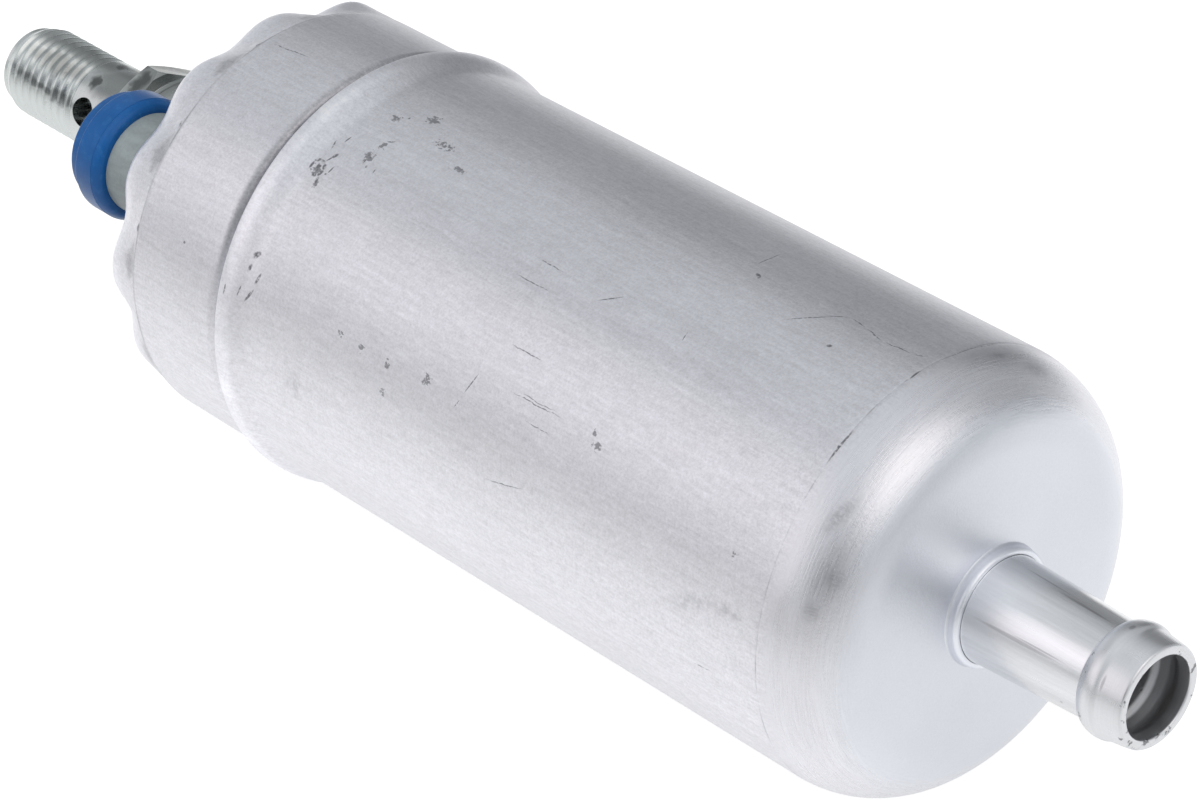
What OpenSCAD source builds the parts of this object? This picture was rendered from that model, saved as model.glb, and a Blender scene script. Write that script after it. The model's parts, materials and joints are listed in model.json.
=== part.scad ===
// Inline electric fuel pump: a roller-cell pump and its motor in one crimped can.
// The pump axis lies along X with the inlet towards +X. The origin is on that
// axis, near the middle of the straight wall that the holding clamp grips.

/* [Can] */
// Outer diameter of the straight wall
can_od = 52; // [50:0.5:56]
// Sheet thickness of the can
can_wall = 1.2; // [1:0.1:1.5]
// Straight wall from the origin to the start of the dome
can_front = 39.3; // [36:0.1:44]
// Straight wall from the origin to the start of the bulge
can_back = 42.8; // [41:0.1:46]
// Height of the bulge above the straight wall
bulge_h = 1.13; // [0.8:0.01:1.3]
// Length of the bulge, with its run-out
bulge_len = 5.2; // [4.6:0.1:6.5]
// Length of the rolled groove next to the bulge
groove_w = 2.4; // [2.2:0.1:2.8]
// Depth of the rolled groove below the straight wall
groove_h = 0.8; // [0.5:0.05:1]

/* [Dome and inlet] */
// Length of the dome's rounded corner along the axis
dome_len = 9.5; // [8.5:0.1:12]
// How far the rounded corner draws in
dome_drop = 8.4; // [7:0.1:9]
// Crown of the dome's end face
dome_crown = 0.3; // [0.2:0.1:1]
// Distance of the seam line from the start of the dome
seam_at = 1; // [0.8:0.1:3]
// Height of the drawn neck above the end face
neck_h = 1.9; // [1:0.1:2.4]
// Length of the inlet spigot beyond the neck
spigot_len = 21.4; // [18:0.1:26]
// Diameter of the spigot's bore
spigot_bore = 9.6; // [8:0.1:10]
// Diameter of the spigot at its root
spigot_root_d = 12.4; // [12:0.1:13]
// Diameter of the spigot next to its bead
spigot_tip_d = 11.4; // [11.2:0.1:12]
// Diameter of the hose bead
bead_d = 13.3; // [12.8:0.1:14]
// Diameter of the spigot's rim
rim_d = 11.9; // [11.4:0.1:12.4]

/* [Crimped end] */
// Height of the collar above the straight wall
collar_h = 0.1; // [0:0.05:0.3]
// Length of the collar between the groove and the fold line
collar_len = 14; // [13:0.1:15]
// Length of the crimp from the fold line to its lip
crimp_len = 6.5; // [6:0.1:7]
// Number of crimp marks round the lip
crimp_count = 12; // [10:1:14]
// Radius of the crimping punch
punch_r = 9; // [8:0.5:12]
// How far the lip's valleys lie below the collar
valley_h = 3; // [2.6:0.1:3.8]
// How far the lip draws in between its valleys
lip_draft = 0.9; // [0.4:0.1:1.4]
// Corner radius of the lip between two valleys
lip_round = 2; // [1:0.1:2.2]
// Turn of the first valley from +Y towards +Z
valley_turn = 14.5; // [0:0.5:29]
// Width of the lip's edge inside its valleys
lip_edge = 1.2; // [0.5:0.05:1.4]

// Wall of the end cover round its cavity
cover_wall = 5.75; // [5:0.05:6]
// Thickness of the end cover's face
cover_t = 3.6; // [3:0.1:4.4]

/* [Outlet] */
// Outer diameter of the outlet thread
thread_d = 11.8; // [11.8:0.1:12]
// Pitch of the outlet thread
thread_pitch = 1.5; // [1.25:0.25:1.75]
// Length of the outlet thread with its lead-in
thread_len = 16.3; // [14:0.1:18]
// Length of the tapered lead-in at the thread's tip
lead_in_len = 2.8; // [1:0.1:3.4]
// Length of the smooth shank between thread and hexagon
shank_len = 8.2; // [8:0.1:12]
// Width of the hexagon across its flats
hex_af = 17; // [16:1:19]
// Length of the hexagon
hex_len = 3.5; // [3:0.1:6]
// Turn of the hexagon about the pump axis
hex_turn = 5; // [0:1:59]
// Length of the round shoulder between the hexagon and its washer
shoulder_len = 4.8; // [2:0.1:6]
// Diameter of the cross hole in the shank
cross_d = 3.8; // [3:0.1:4]
// Turn of the cross hole from +Y towards +Z
cross_turn = 161; // [0:1:359]
// Thickness of the copper washer
washer_t = 1.5; // [1:0.1:2]
// Outer diameter of the copper washer
washer_d = 18; // [16:0.1:20]
// Length of the cover's boss that carries the nipple
boss_len = 15.5; // [15.2:0.1:18]

/* [Terminals] */
// Outer diameter of the terminal turret
turret_d = 12.68; // [12:0.02:13]
// Wall of the terminal turret
turret_wall = 1.4; // [1.2:0.1:1.6]
// Turn of the turret from +Y towards +Z
turret_turn = 151.6; // [140:0.1:160]
// Length of the turret beyond the cover
turret_len = 13.5; // [13:0.1:15]
// Thickness of the turret's floor
turret_floor = 3; // [2:0.1:4]
// Length of the blue collar
collar_ring_len = 6.3; // [5:0.1:7]
// Height of the blue collar's rim above the turret
collar_rim_h = 1.46; // [1.2:0.02:1.6]
// Distance of the collar's step from its front
collar_step_at = 1.9; // [1.5:0.1:2.4]
// Diameter of a terminal pin
pin_d = 1.5; // [1:0.1:2]
// Distance of each pin from the turret's middle
pin_spread = 2.6; // [2:0.1:3]
// Free length of a terminal pin in the socket
pin_free = 5; // [4:0.1:5.5]

/* [Pump] */
// Thickness of the inlet plate
inlet_plate_t = 6; // [5:0.1:7]
// Width of the cam ring
cam_w = 12; // [11:0.1:14]
// Thickness of the outlet plate
outlet_plate_t = 5; // [4.5:0.1:6]
// Length of the spacer between the inlet plate and the dome
spacer_len = 11; // [10:0.1:12]
// Wall of the spacer
spacer_wall = 2.2; // [1.5:0.1:3]
// Wall of the cam ring where it is thinnest
cam_wall = 6.2; // [6:0.1:7]
// Offset of the eccentric bore towards +Z
cam_offset = 1.5; // [1:0.1:1.6]
// Gap between the slotted rotor and the cam ring at its nearest
cam_gap = 0.3; // [0.2:0.05:0.5]
// Diameter of a roller
roller_d = 5.8; // [5:0.1:6]
// Number of rollers
roller_count = 5; // [5:1:5]
// Diameter of a clamping screw
screw_d = 3.4; // [3:0.1:3.6]
// Distance from the rim of the pump's plates to the middle of a screw
screw_edge = 3.3; // [3.1:0.1:3.5]

/* [Motor] */
// Diameter of the shaft in the pump and the armature
shaft_d = 8; // [7:0.1:9]
// Diameter of the shaft's tail
tail_d = 6; // [5:0.1:6.6]
// Wall of the bearing bushes
bush_wall = 2; // [1.5:0.1:2.2]
// Wall of the steel tube round the magnets
flux_wall = 2.1; // [1.5:0.1:2.5]
// Thickness of a magnet
magnet_t = 6.4; // [5.5:0.1:7]
// How far the magnets reach past each end of the lamination stack
magnet_reach = 4; // [2:0.5:5]
// Arc that each magnet covers
magnet_arc = 130; // [120:1:140]
// Air gap between the magnets and the armature
air_gap = 0.6; // [0.4:0.1:1]
// Length of the lamination stack
core_len = 28; // [24:0.5:30]
// Length of each winding head
head_len = 5.5; // [4:0.1:6]
// Number of armature slots and commutator bars
slot_count = 12; // [10:1:14]
// Diameter of the commutator
commutator_d = 18; // [16:0.2:19]
// Length of the commutator
commutator_len = 10.5; // [10:0.1:11]

/* [Brushes] */
// Length of the brush holder along the axis
holder_len = 11.2; // [11:0.1:12]
// Thickness of the brush holder's floor
holder_floor = 2; // [1.5:0.1:2.5]
// Brush size along the axis
brush_w = 4; // [3:0.1:4.4]
// Brush size across the axis
brush_h = 6; // [5:0.1:6.2]
// Brush length from the commutator outwards
brush_len = 8.9; // [8:0.1:9.5]
// Wall of a brush guide
guide_wall = 0.9; // [0.7:0.05:1]
// Diameter of a brush lead
lead_d = 1; // [0.8:0.1:1.2]

/* [Valves] */
// Diameter of the check valve's seat hole
seat_d = 4; // [3:0.1:4.4]
// Diameter of the check valve's disc
poppet_d = 7.2; // [6:0.1:7.4]
// Thickness of the check valve's disc
poppet_t = 2.1; // [1.5:0.1:2.4]
// Opening travel of the check valve
poppet_lift = 2; // [1:0.1:2.4]
// Diameter of the relief valve's ball
ball_d = 4.4; // [4:0.1:4.6]
// Diameter of the relief valve's seat hole
relief_seat_d = 3; // [2.4:0.1:3.2]
// Distance from the rim of the pump's plates to the middle of the relief valve
relief_edge = 4.5; // [4.2:0.1:4.6]

/* [Fits] */
// Radial clearance of a part that slips into the can
slip_fit = 0.1; // [0.05:0.01:0.15]
// Radial clearance of the shaft in its bushes
running_fit = 0.03; // [0.02:0.01:0.05]
// Side clearance of the rotor and its rollers in the cam ring
side_fit = 0.05; // [0.03:0.01:0.1]
// Clearance of each brush in its guide
guide_fit = 0.1; // [0.05:0.01:0.15]
// Clearance of screws in their holes
hole_fit = 0.1; // [0.05:0.01:0.2]

/* [Hidden] */
$fn = 96;

// Small step that makes a cut run past the face it starts from
cut = 0.5;
// Gap that keeps a valve or a spring just clear of its seat
seat_gap = 0.03;

// Can, from the inlet end to the crimped lip
can_r = can_od / 2;
can_in = can_r - can_wall;
dome_end = can_front + dome_len;
dome_face_r = can_r - dome_drop;
crown_x = dome_end + dome_crown;
neck_x = crown_x + neck_h;
crest_r = 0.32;
collar_round = 1;
bulge_round = 0.35;
seam_w = 0.4;
seam_depth = 0.15;
mouth_x = neck_x + spigot_len;
bulge_r = can_r + bulge_h;
bulge_x = -can_back - 0.87 * bulge_len;
step_x = -can_back - bulge_len;
groove_r = can_r - groove_h;
rib_in = groove_r - can_wall;
collar_r = can_r + collar_h;
collar_x = step_x - groove_w;
collar_in = collar_r - can_wall;
fold_x = collar_x - collar_len;
lip_x = fold_x - crimp_len;
valley_r = collar_r - valley_h;
lip_in = valley_r - lip_edge;
seat_cone_x = fold_x - 0.6;
cover_face_x = lip_x + 1.3;
seat_cone_r = lip_in + 0.52;

// Inlet spigot
root_r = spigot_root_d / 2;
tip_r = spigot_tip_d / 2;
bead_r = bead_d / 2;
rim_r = rim_d / 2;
bore_r = spigot_bore / 2;
bead_x = mouth_x - 4.3;
bead_root_x = mouth_x - 6.5;
bead_wall = 1.1;
rim_round = 0.3;
neck_foot_r = root_r + 1.2;
flange_t = 1.2;
flange_r = root_r + 2.6;
inner_face_x = crown_x - can_wall;

// Pump stack
stack_r = can_in - slip_fit;
inlet_plate_x = can_front - 8.3;
cam_x1 = inlet_plate_x - inlet_plate_t;
cam_x0 = cam_x1 - cam_w;
outlet_plate_x = cam_x0 - outlet_plate_t;
cam_bore_r = stack_r - cam_wall - cam_offset;
rotor_r = cam_bore_r - cam_offset - cam_gap;
roller_r = roller_d / 2;
roller_ring_r = rotor_r + 0.1 - roller_r;
shaft_r = shaft_d / 2;
tail_r = tail_d / 2;
bush_r = shaft_r + bush_wall;
rear_bush_r = tail_r + bush_wall;
screw_r = screw_d / 2;
screw_head_r = screw_r + 1.1;
screw_ring_r = stack_r - screw_edge;
screw_head_t = 2;
screw_turns = [90, 210, 330];
port_in_r = roller_ring_r - 1.6;
port_w = 3.4;
port_arc = 110;
relief_bore_r = ball_d / 2 + 0.25;
relief_ball_x = cam_x0 + seat_gap
    + sqrt(pow(ball_d / 2, 2) - pow(relief_seat_d / 2, 2));

// Motor
holder_x0 = step_x + 0.1;
holder_x1 = holder_x0 + holder_len;
holder_r = rib_in + 0.4;
flux_in = stack_r - flux_wall;
magnet_out = flux_in - 0.1;
magnet_in = magnet_out - magnet_t;
core_r = magnet_in - air_gap;
motor_mid = (outlet_plate_x + holder_x1) / 2;
core_x0 = motor_mid - core_len / 2;
core_x1 = motor_mid + core_len / 2;
magnet_len = core_len + 2 * magnet_reach;
magnet_x0 = motor_mid - magnet_len / 2;
slot_w = 2;
slot_root_r = 7.4;
slot_wide_r = core_r - 2.2;
slot_root_w = 1.6;
slot_wide_w = 4.2;
wire_gap = 0.15;
commutator_r = commutator_d / 2;
commutator_x0 = holder_x0 + holder_floor + 0.6;
commutator_x1 = commutator_x0 + commutator_len;
hub_r = commutator_r - 2.5;
clip_arc = 180 - magnet_arc - 2;
clip_t = 0.6;
clip_flange = 3.6;

// Brushes
brush_mid_x = commutator_x0 + commutator_len / 2 - 0.4;
brush_in = commutator_r + 0.05;
brush_back = brush_in + brush_len;
guide_in = commutator_r + 1;
ring_in = holder_r - 1.9;
brush_spring_r = 1.6;
brush_spring_wire = 0.25;
holder_hub_r = rear_bush_r + 1.8;
holder_hub_len = 5;
tail_x = holder_x0 - holder_hub_len;

// Cover, outlet and valves
cover_r = collar_in - 0.15;
cavity_r = cover_r - cover_wall;
cavity_x = cover_face_x + cover_t;
seal_r = 1.25;
seal_x = collar_x - 4;
seal_ring_r = collar_in - seal_r - 0.05;
turret_r = turret_d / 2;
turret_off = lip_in - turret_r - 0.16;
collar_rim_r = turret_r + collar_rim_h;
boss_r = turret_off - collar_rim_r - 0.2;
boss_base_r = turret_off - turret_r - 0.4;
boss_base_len = 6.5;
boss_x = cover_face_x - boss_len;
washer_x = boss_x - washer_t;
shoulder_x = washer_x - shoulder_len;
hex_x = shoulder_x - hex_len;
thread_x = hex_x - shank_len;
tip_x = thread_x - thread_len;
thread_r = thread_d / 2;
thread_root_r = thread_r - 0.61 * thread_pitch;
neck_r = 5;
shoulder_r = hex_af / 2 - 0.1;
valve_chamber_r = poppet_d / 2 + 0.6;
valve_seat_x = cover_face_x - 0.5;
valve_chamber_x = valve_seat_x - poppet_t - poppet_lift - 0.7;
neck_x0 = valve_chamber_x - 0.6;
nipple_bore_r = 2.2;
spring_bore_r = 3.4;
spring_shoulder_x = boss_x + 1.2;
cross_x = thread_x + 1.4;
check_spring_r = 2.6;
check_spring_wire = 0.35;
relief_spring_r = 1.85;
relief_spring_wire = 0.25;

// Terminal turret
turret_y = turret_off * cos(turret_turn);
turret_z = turret_off * sin(turret_turn);
turret_in = turret_r - turret_wall;
turret_mouth_x = cover_face_x - turret_len;
socket_floor_x = cover_face_x - turret_floor;
collar_front_x = turret_mouth_x - 0.5;
collar_back_x = collar_front_x + collar_ring_len;
pin_r = pin_d / 2;
lead_r = lead_d / 2;
lead_start_x = cavity_x + 2;
lead_turn_x = (cavity_x + tail_x) / 2;
lead_end_x = holder_x0 + holder_floor;

// Points of an elliptical quarter-like run: centre, half axes, first and last angle
function run(cx, cr, a, b, from, to, steps = 10) =
    [for (i = [0:steps]) let (t = from + (to - from) * i / steps)
        [cx + a * cos(t), cr + b * sin(t)]];

// Points of a smooth change of radius along the axis
function blend(x0, r0, x1, r1, steps = 8) =
    [for (i = [0:steps]) let (s = i / steps)
        [x0 + (x1 - x0) * s, r0 + (r1 - r0) * (1 - cos(180 * s)) / 2]];

// Points of a shallow rise along the axis while the radius changes evenly
function rise(x0, r0, x1, r1, steps = 8) =
    [for (i = [0:steps]) let (s = i / steps)
        [x0 + (x1 - x0) * (1 - cos(180 * s)) / 2, r0 + (r1 - r0) * s]];

// Points of a swell, from a crease at its foot to its level crest
function swell(x0, r0, x1, r1, steps = 6) =
    [for (i = [0:steps]) let (s = i / steps)
        [x0 + (x1 - x0) * s, r0 + (r1 - r0) * sin(90 * s)]];

// Place of a point on a circle round the pump axis
function around(r, turn) = [r * cos(turn), r * sin(turn)];

relief_place = around(stack_r - relief_edge, 270);
pin_places = [for (side = [1, -1])
    [turret_y - side * pin_spread * sin(turret_turn),
     turret_z + side * pin_spread * cos(turret_turn)]];
far_r = norm(pin_places[1]);
far_turn = atan2(pin_places[1][1], pin_places[1][0]);
far_end_turn = 22;

// Turns a solid of revolution, given as points of x and radius, round the X axis
module revolve(points) {
    rotate([0, 90, 0]) rotate_extrude()
        polygon([for (p = points) [p[1], p[0]]]);
}

// Round bar along X
module bar(x0, x1, r) {
    translate([x0, 0, 0]) rotate([0, 90, 0]) cylinder(r = r, h = x1 - x0);
}

// Tube along X
module tube(x0, x1, outer, inner) {
    difference() {
        bar(x0, x1, outer);
        bar(x0 - cut, x1 + cut, inner);
    }
}

// Part of a ring round the X axis, of a rectangle in radius and x
module ring_part(x0, x1, inner, outer, from, sweep) {
    translate([x0, 0, 0]) rotate([0, 90, 0]) rotate([0, 0, from + 90])
        rotate_extrude(angle = sweep)
            translate([inner, 0]) square([outer - inner, x1 - x0]);
}

// Moves its children off the pump axis, to a place in Y and Z
module off_axis(place) {
    translate([0, place[0], place[1]]) children();
}

// Coil spring along +Z, with a round wire of six sides
module coil(mean_r, wire_r, length, turns) {
    sides = 6;
    steps = turns * 10;
    rise = length - 2 * wire_r;
    points = [for (i = [0:steps]) for (j = [0:sides - 1])
        let (a = 36 * i, b = 360 * j / sides, r = mean_r + wire_r * cos(b))
            [r * cos(a), r * sin(a), wire_r + rise * i / steps + wire_r * sin(b)]];
    walls = [for (i = [0:steps - 1]) for (j = [0:sides - 1])
        let (k = (j + 1) % sides, a = i * sides, b = a + sides)
            for (face = [[a + j, b + j, b + k], [a + j, b + k, a + k]]) face];
    last = steps * sides;
    caps = [for (j = [1:sides - 2]) for (face = [[0, j, j + 1],
        [last, last + j + 1, last + j]]) face];
    polyhedron(points, concat(walls, caps), convexity = 10);
}

module can() {
    outer = concat(
        [[lip_x, lip_in]],
        run(lip_x + lip_round, collar_r - lip_draft - lip_round, lip_round, lip_round,
            180, 90, 6),
        [[fold_x, collar_r]],
        run(collar_x, collar_r - collar_round, collar_round, collar_round, 90, 12, 6),
        [[collar_x + collar_round + 0.2, groove_r], [step_x - 0.2, groove_r]],
        run(step_x + bulge_round, bulge_r - bulge_round, bulge_round, bulge_round,
            180, 90, 5),
        blend(bulge_x, bulge_r, -can_back, can_r),
        run(can_front, dome_face_r, dome_len, dome_drop, 90, 0, 16),
        rise(dome_end, dome_face_r, crown_x, neck_foot_r),
        run(neck_x - crest_r, neck_foot_r, neck_x - crest_r - crown_x,
            neck_foot_r - root_r - 2 * crest_r, 180, 270, 6),
        run(neck_x - crest_r, root_r + crest_r, crest_r, crest_r, 90, -20, 6));
    inner = concat(
        [[neck_x - crest_r, root_r + slip_fit], [inner_face_x, root_r + slip_fit]],
        run(can_front, dome_face_r, inner_face_x - can_front,
            dome_drop - can_wall, 0, 90, 10),
        blend(-can_back, can_in, bulge_x, bulge_r - can_wall, 4),
        [[step_x + can_wall / 2, bulge_r - can_wall], [step_x - 0.1, rib_in],
         [collar_x + 0.6, rib_in], [collar_x, collar_in], [seat_cone_x, collar_in],
         [cover_face_x, seat_cone_r], [cover_face_x - 0.1, lip_in]]);
    seam_x = can_front + seam_at;
    seam_r = dome_face_r + dome_drop * sqrt(1 - pow(seam_at / dome_len, 2));
    slope = atan(valley_h / crimp_len);
    color("silver") difference() {
        revolve(concat(outer, inner));
        revolve([[seam_x - seam_w / 2, seam_r + cut], [seam_x + seam_w / 2, seam_r + cut],
            [seam_x + seam_w / 2, seam_r], [seam_x, seam_r - seam_depth],
            [seam_x - seam_w / 2, seam_r]]);
        for (k = [0:crimp_count - 1])
            rotate([valley_turn + k * 360 / crimp_count, 0, 0])
                translate([lip_x, valley_r, 0]) rotate([0, 0, slope])
                    translate([0, punch_r, 0]) bar(-punch_r / 2, 1.7 * crimp_len, punch_r);
    }
}

module inlet_spigot() {
    outer = concat(
        [[inner_face_x - flange_t, bore_r], [inner_face_x - flange_t, flange_r],
         [inner_face_x, flange_r], [inner_face_x, root_r]],
        [[neck_x, root_r]], swell(bead_root_x, tip_r, bead_x, bead_r),
        blend(bead_x + rim_round, bead_r, mouth_x - 0.8, rim_r, 6),
        [[mouth_x - rim_round, rim_r], [mouth_x, rim_r - rim_round], [mouth_x, bore_r]]);
    inside = concat(
        blend(mouth_x - 1.6, bore_r, bead_x, bead_r - bead_wall, 5),
        blend(bead_x, bead_r - bead_wall, bead_root_x - 0.2, bore_r, 5));
    color("lightgray") revolve(concat(outer, inside));
}

module inlet_strainer() {
    cup_r = bore_r + 1.6;
    cup_wall = 0.6;
    cup_rim_t = 0.8;
    cup_x1 = inner_face_x - flange_t;
    cup_x0 = inlet_plate_x + 3;
    hole_r = 1.2;
    holes = 10;
    rows = 2;
    row_pitch = (cup_x1 - cup_x0 - 3) / rows;
    color("goldenrod") difference() {
        union() {
            bar(cup_x0, cup_x1, cup_r);
            bar(cup_x1 - cup_rim_t, cup_x1, flange_r);
        }
        bar(cup_x0 + cup_wall, cup_x1 + cut, cup_r - cup_wall);
        for (row = [0:rows - 1]) for (k = [0:holes - 1])
            translate([cup_x0 + 2 * hole_r + row * row_pitch, 0, 0])
                rotate([(k + row / 2) * 360 / holes, 0, 0])
                    cylinder(r = hole_r, h = cup_r + cut);
    }
}

module spacer_ring() {
    end_x = inlet_plate_x + spacer_len;
    end_drop = stack_r - dome_face_r - (dome_drop - can_wall)
        * sqrt(1 - pow((end_x - can_front) / (inner_face_x - can_front), 2));
    color("gray") revolve([
        [inlet_plate_x, stack_r], [can_front, stack_r],
        [end_x, stack_r - end_drop - 0.3],
        [end_x, stack_r - spacer_wall - end_drop], [inlet_plate_x, stack_r - spacer_wall]]);
}

// Holes for the clamping screws, through a plate or ring
module screw_holes(x0, x1, r) {
    for (turn = screw_turns) off_axis(around(screw_ring_r, turn)) bar(x0, x1, r);
}

module inlet_plate() {
    color("slategray") difference() {
        bar(cam_x1, inlet_plate_x, stack_r);
        bar(cam_x1 - cut, inlet_plate_x + cut, bush_r);
        screw_holes(cam_x1 - cut, inlet_plate_x + cut, screw_r + hole_fit);
        screw_holes(inlet_plate_x - screw_head_t, inlet_plate_x + cut,
            screw_head_r + hole_fit);
        ring_part(cam_x1 - cut, inlet_plate_x + cut, port_in_r, port_in_r + port_w,
            -port_arc / 2, port_arc);
        off_axis(relief_place)
            bar(cam_x1 - cut, inlet_plate_x + cut, relief_seat_d / 2);
    }
}

module cam_ring() {
    color("dimgray") difference() {
        bar(cam_x0, cam_x1, stack_r);
        off_axis([0, cam_offset]) bar(cam_x0 - cut, cam_x1 + cut, cam_bore_r);
        screw_holes(cam_x0 - cut, cam_x1 + cut, screw_r + hole_fit);
        off_axis(relief_place) bar(cam_x0 - cut, cam_x1 + cut, relief_bore_r);
    }
}

module outlet_plate() {
    color("slategray") difference() {
        bar(outlet_plate_x, cam_x0, stack_r);
        bar(outlet_plate_x - cut, cam_x0 + cut, bush_r);
        screw_holes(outlet_plate_x - cut, cam_x0 + cut, screw_r);
        ring_part(outlet_plate_x - cut, cam_x0 + cut, port_in_r, port_in_r + port_w,
            180 - port_arc / 2, port_arc);
        off_axis(relief_place)
            bar(outlet_plate_x - cut, cam_x0 + cut, relief_seat_d / 2);
    }
}

module plate_screws() {
    head_x = inlet_plate_x - 0.1;
    color("darkgray") for (turn = screw_turns) off_axis(around(screw_ring_r, turn))
        difference() {
            union() {
                bar(outlet_plate_x + 0.4, head_x, screw_r);
                bar(inlet_plate_x - screw_head_t, head_x, screw_head_r);
            }
            translate([head_x, 0, 0]) cube([1.4, 2 * screw_head_r + cut, 0.7], center = true);
        }
}

module inlet_bush() {
    color("peru") tube(cam_x1 + 0.2, inlet_plate_x, bush_r, shaft_r + running_fit);
}

module outlet_bush() {
    color("peru") tube(outlet_plate_x, cam_x0 - 0.2, bush_r, shaft_r + running_fit);
}

module rear_bush() {
    color("peru") tube(tail_x, holder_x0, rear_bush_r, tail_r + running_fit);
}

// Radial slot for one roller
module roller_slot(turn) {
    r = roller_r + side_fit;
    rotate([turn, 0, 0]) {
        translate([0, roller_ring_r, 0]) bar(cam_x0 - cut, cam_x1 + cut, r);
        translate([cam_x0 - cut, roller_ring_r, -r])
            cube([cam_w + 2 * cut, roller_d, 2 * r]);
    }
}

module pump_rotor() {
    color("steelblue") difference() {
        bar(cam_x0 + side_fit, cam_x1 - side_fit, rotor_r);
        bar(cam_x0 - cut, cam_x1 + cut, shaft_r);
        for (k = [1:roller_count]) roller_slot(k * 360 / roller_count);
    }
}

module roller(k) {
    color("whitesmoke") rotate([k * 360 / roller_count, 0, 0])
        translate([0, roller_ring_r, 0])
            bar(cam_x0 + side_fit, cam_x1 - side_fit, roller_r);
}

module drive_shaft() {
    color("lightsteelblue") revolve([
        [tail_x + 0.6, 0], [tail_x + 0.6, tail_r - 0.4], [tail_x + 1, tail_r],
        [commutator_x0 - 0.3, tail_r], [commutator_x0 - 0.3, shaft_r],
        [inlet_plate_x - 1, shaft_r], [inlet_plate_x - 0.5, shaft_r - 0.5],
        [inlet_plate_x - 0.5, 0]]);
}

// Outline of one armature slot, drawn smaller by a gap for the wire in it
module slot_outline(gap) {
    open_r = gap > 0 ? slot_wide_r + 0.6 : core_r + cut;
    half_root = slot_root_w / 2 - gap;
    half_wide = slot_wide_w / 2 - gap;
    half_open = slot_w / 2 - gap;
    root = slot_root_r + gap;
    polygon([[root, -half_root], [slot_wide_r, -half_wide],
        [slot_wide_r + 0.6, -half_open], [open_r, -half_open],
        [open_r, half_open], [slot_wide_r + 0.6, half_open],
        [slot_wide_r, half_wide], [root, half_root]]);
}

// All armature slots between two places on the axis
module slots(x0, x1, gap) {
    for (k = [0:slot_count - 1])
        translate([x0, 0, 0]) rotate([0, 90, 0])
            rotate([0, 0, k * 360 / slot_count])
                linear_extrude(x1 - x0) slot_outline(gap);
}

module armature_core() {
    color("darkslategray") difference() {
        bar(core_x0, core_x1, core_r);
        bar(core_x0 - cut, core_x1 + cut, shaft_r);
        slots(core_x0 - cut, core_x1 + cut, 0);
    }
}

// One rounded winding head, outwards from an end of the core
module winding_head(x, side) {
    low = slot_root_r - 1;
    high = slot_wide_r;
    revolve(concat([[x, low], [x, high]],
        run(x, (low + high) / 2, side * head_len, (high - low) / 2, 80, -80, 10)));
}

module armature_winding() {
    color("sienna") union() {
        winding_head(core_x0, -1);
        winding_head(core_x1, 1);
        slots(core_x0 - 1, core_x1 + 1, wire_gap);
    }
}

module commutator() {
    color("chocolate") difference() {
        tube(commutator_x0, commutator_x1, commutator_r, hub_r);
        for (k = [0:slot_count - 1]) rotate([k * 360 / slot_count, 0, 0])
            translate([commutator_x0 - cut, commutator_r - 1.6, -0.25])
                cube([commutator_len + 2 * cut, 2, 0.5]);
    }
}

module commutator_hub() {
    color("saddlebrown") tube(commutator_x0, commutator_x1, hub_r, shaft_r);
}

module flux_tube() {
    color("slategray") tube(holder_x1, outlet_plate_x, stack_r, flux_in);
}

module magnet(turn) {
    color("black") ring_part(magnet_x0, magnet_x0 + magnet_len, magnet_in, magnet_out,
        turn - magnet_arc / 2, magnet_arc);
}

module magnet_clips() {
    edge = asin(clip_t / magnet_out);
    color("lightgray") for (turn = [90, 270]) union() {
        ring_part(magnet_x0, magnet_x0 + magnet_len, magnet_out - clip_t, magnet_out,
            turn - clip_arc / 2, clip_arc);
        for (side = [-clip_arc / 2, clip_arc / 2 - 2 * edge])
            ring_part(magnet_x0, magnet_x0 + magnet_len, magnet_out - clip_flange,
                magnet_out, turn + side, 2 * edge);
    }
}

// Wall of the guide for one brush, before its slot is cut
module brush_guide(turn) {
    half_w = brush_w / 2 + guide_wall;
    half_h = brush_h / 2 + guide_wall;
    foot_x = holder_x0 + holder_floor / 2;
    rotate([turn, 0, 0])
        translate([foot_x, guide_in, -half_h])
            cube([brush_mid_x + half_w - foot_x, holder_r - 0.2 - guide_in, 2 * half_h]);
}

// Slot that a brush slides in
module brush_slot(turn) {
    half_w = brush_w / 2 + guide_fit;
    half_h = brush_h / 2 + guide_fit;
    rotate([turn, 0, 0])
        translate([brush_mid_x - half_w, guide_in - cut, -half_h])
            cube([2 * half_w, ring_in - guide_in + cut, 2 * half_h]);
}

module brush_holder() {
    color("peru") difference() {
        union() {
            tube(holder_x0, holder_x1, holder_r, ring_in);
            bar(holder_x0, holder_x0 + holder_floor, holder_r);
            bar(tail_x, holder_x0 + holder_floor, holder_hub_r);
            for (turn = [0, 180]) brush_guide(turn);
        }
        bar(tail_x - cut, holder_x0 + cut / 2, rear_bush_r);
        bar(holder_x0, holder_x0 + holder_floor + cut, tail_r + 0.6);
        for (turn = [0, 180]) brush_slot(turn);
        for (turn = [60, 90, 120, 240, 270, 300])
            off_axis(around(15, turn)) bar(holder_x0 - cut, holder_x0 + holder_floor + cut, 2.4);
        off_axis(pin_places[0])
            bar(holder_x0 - cut, holder_x0 + holder_floor + cut, lead_r + hole_fit);
        off_axis(around(far_r, far_end_turn))
            bar(holder_x0 - cut, holder_x0 + holder_floor + cut, lead_r + hole_fit);
    }
}

module brush(turn) {
    color("dimgray") rotate([turn, 0, 0]) difference() {
        translate([brush_mid_x - brush_w / 2, commutator_r - 0.5, -brush_h / 2])
            cube([brush_w, brush_back - commutator_r + 0.5, brush_h]);
        bar(brush_mid_x - brush_w, brush_mid_x + brush_w, brush_in);
    }
}

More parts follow.
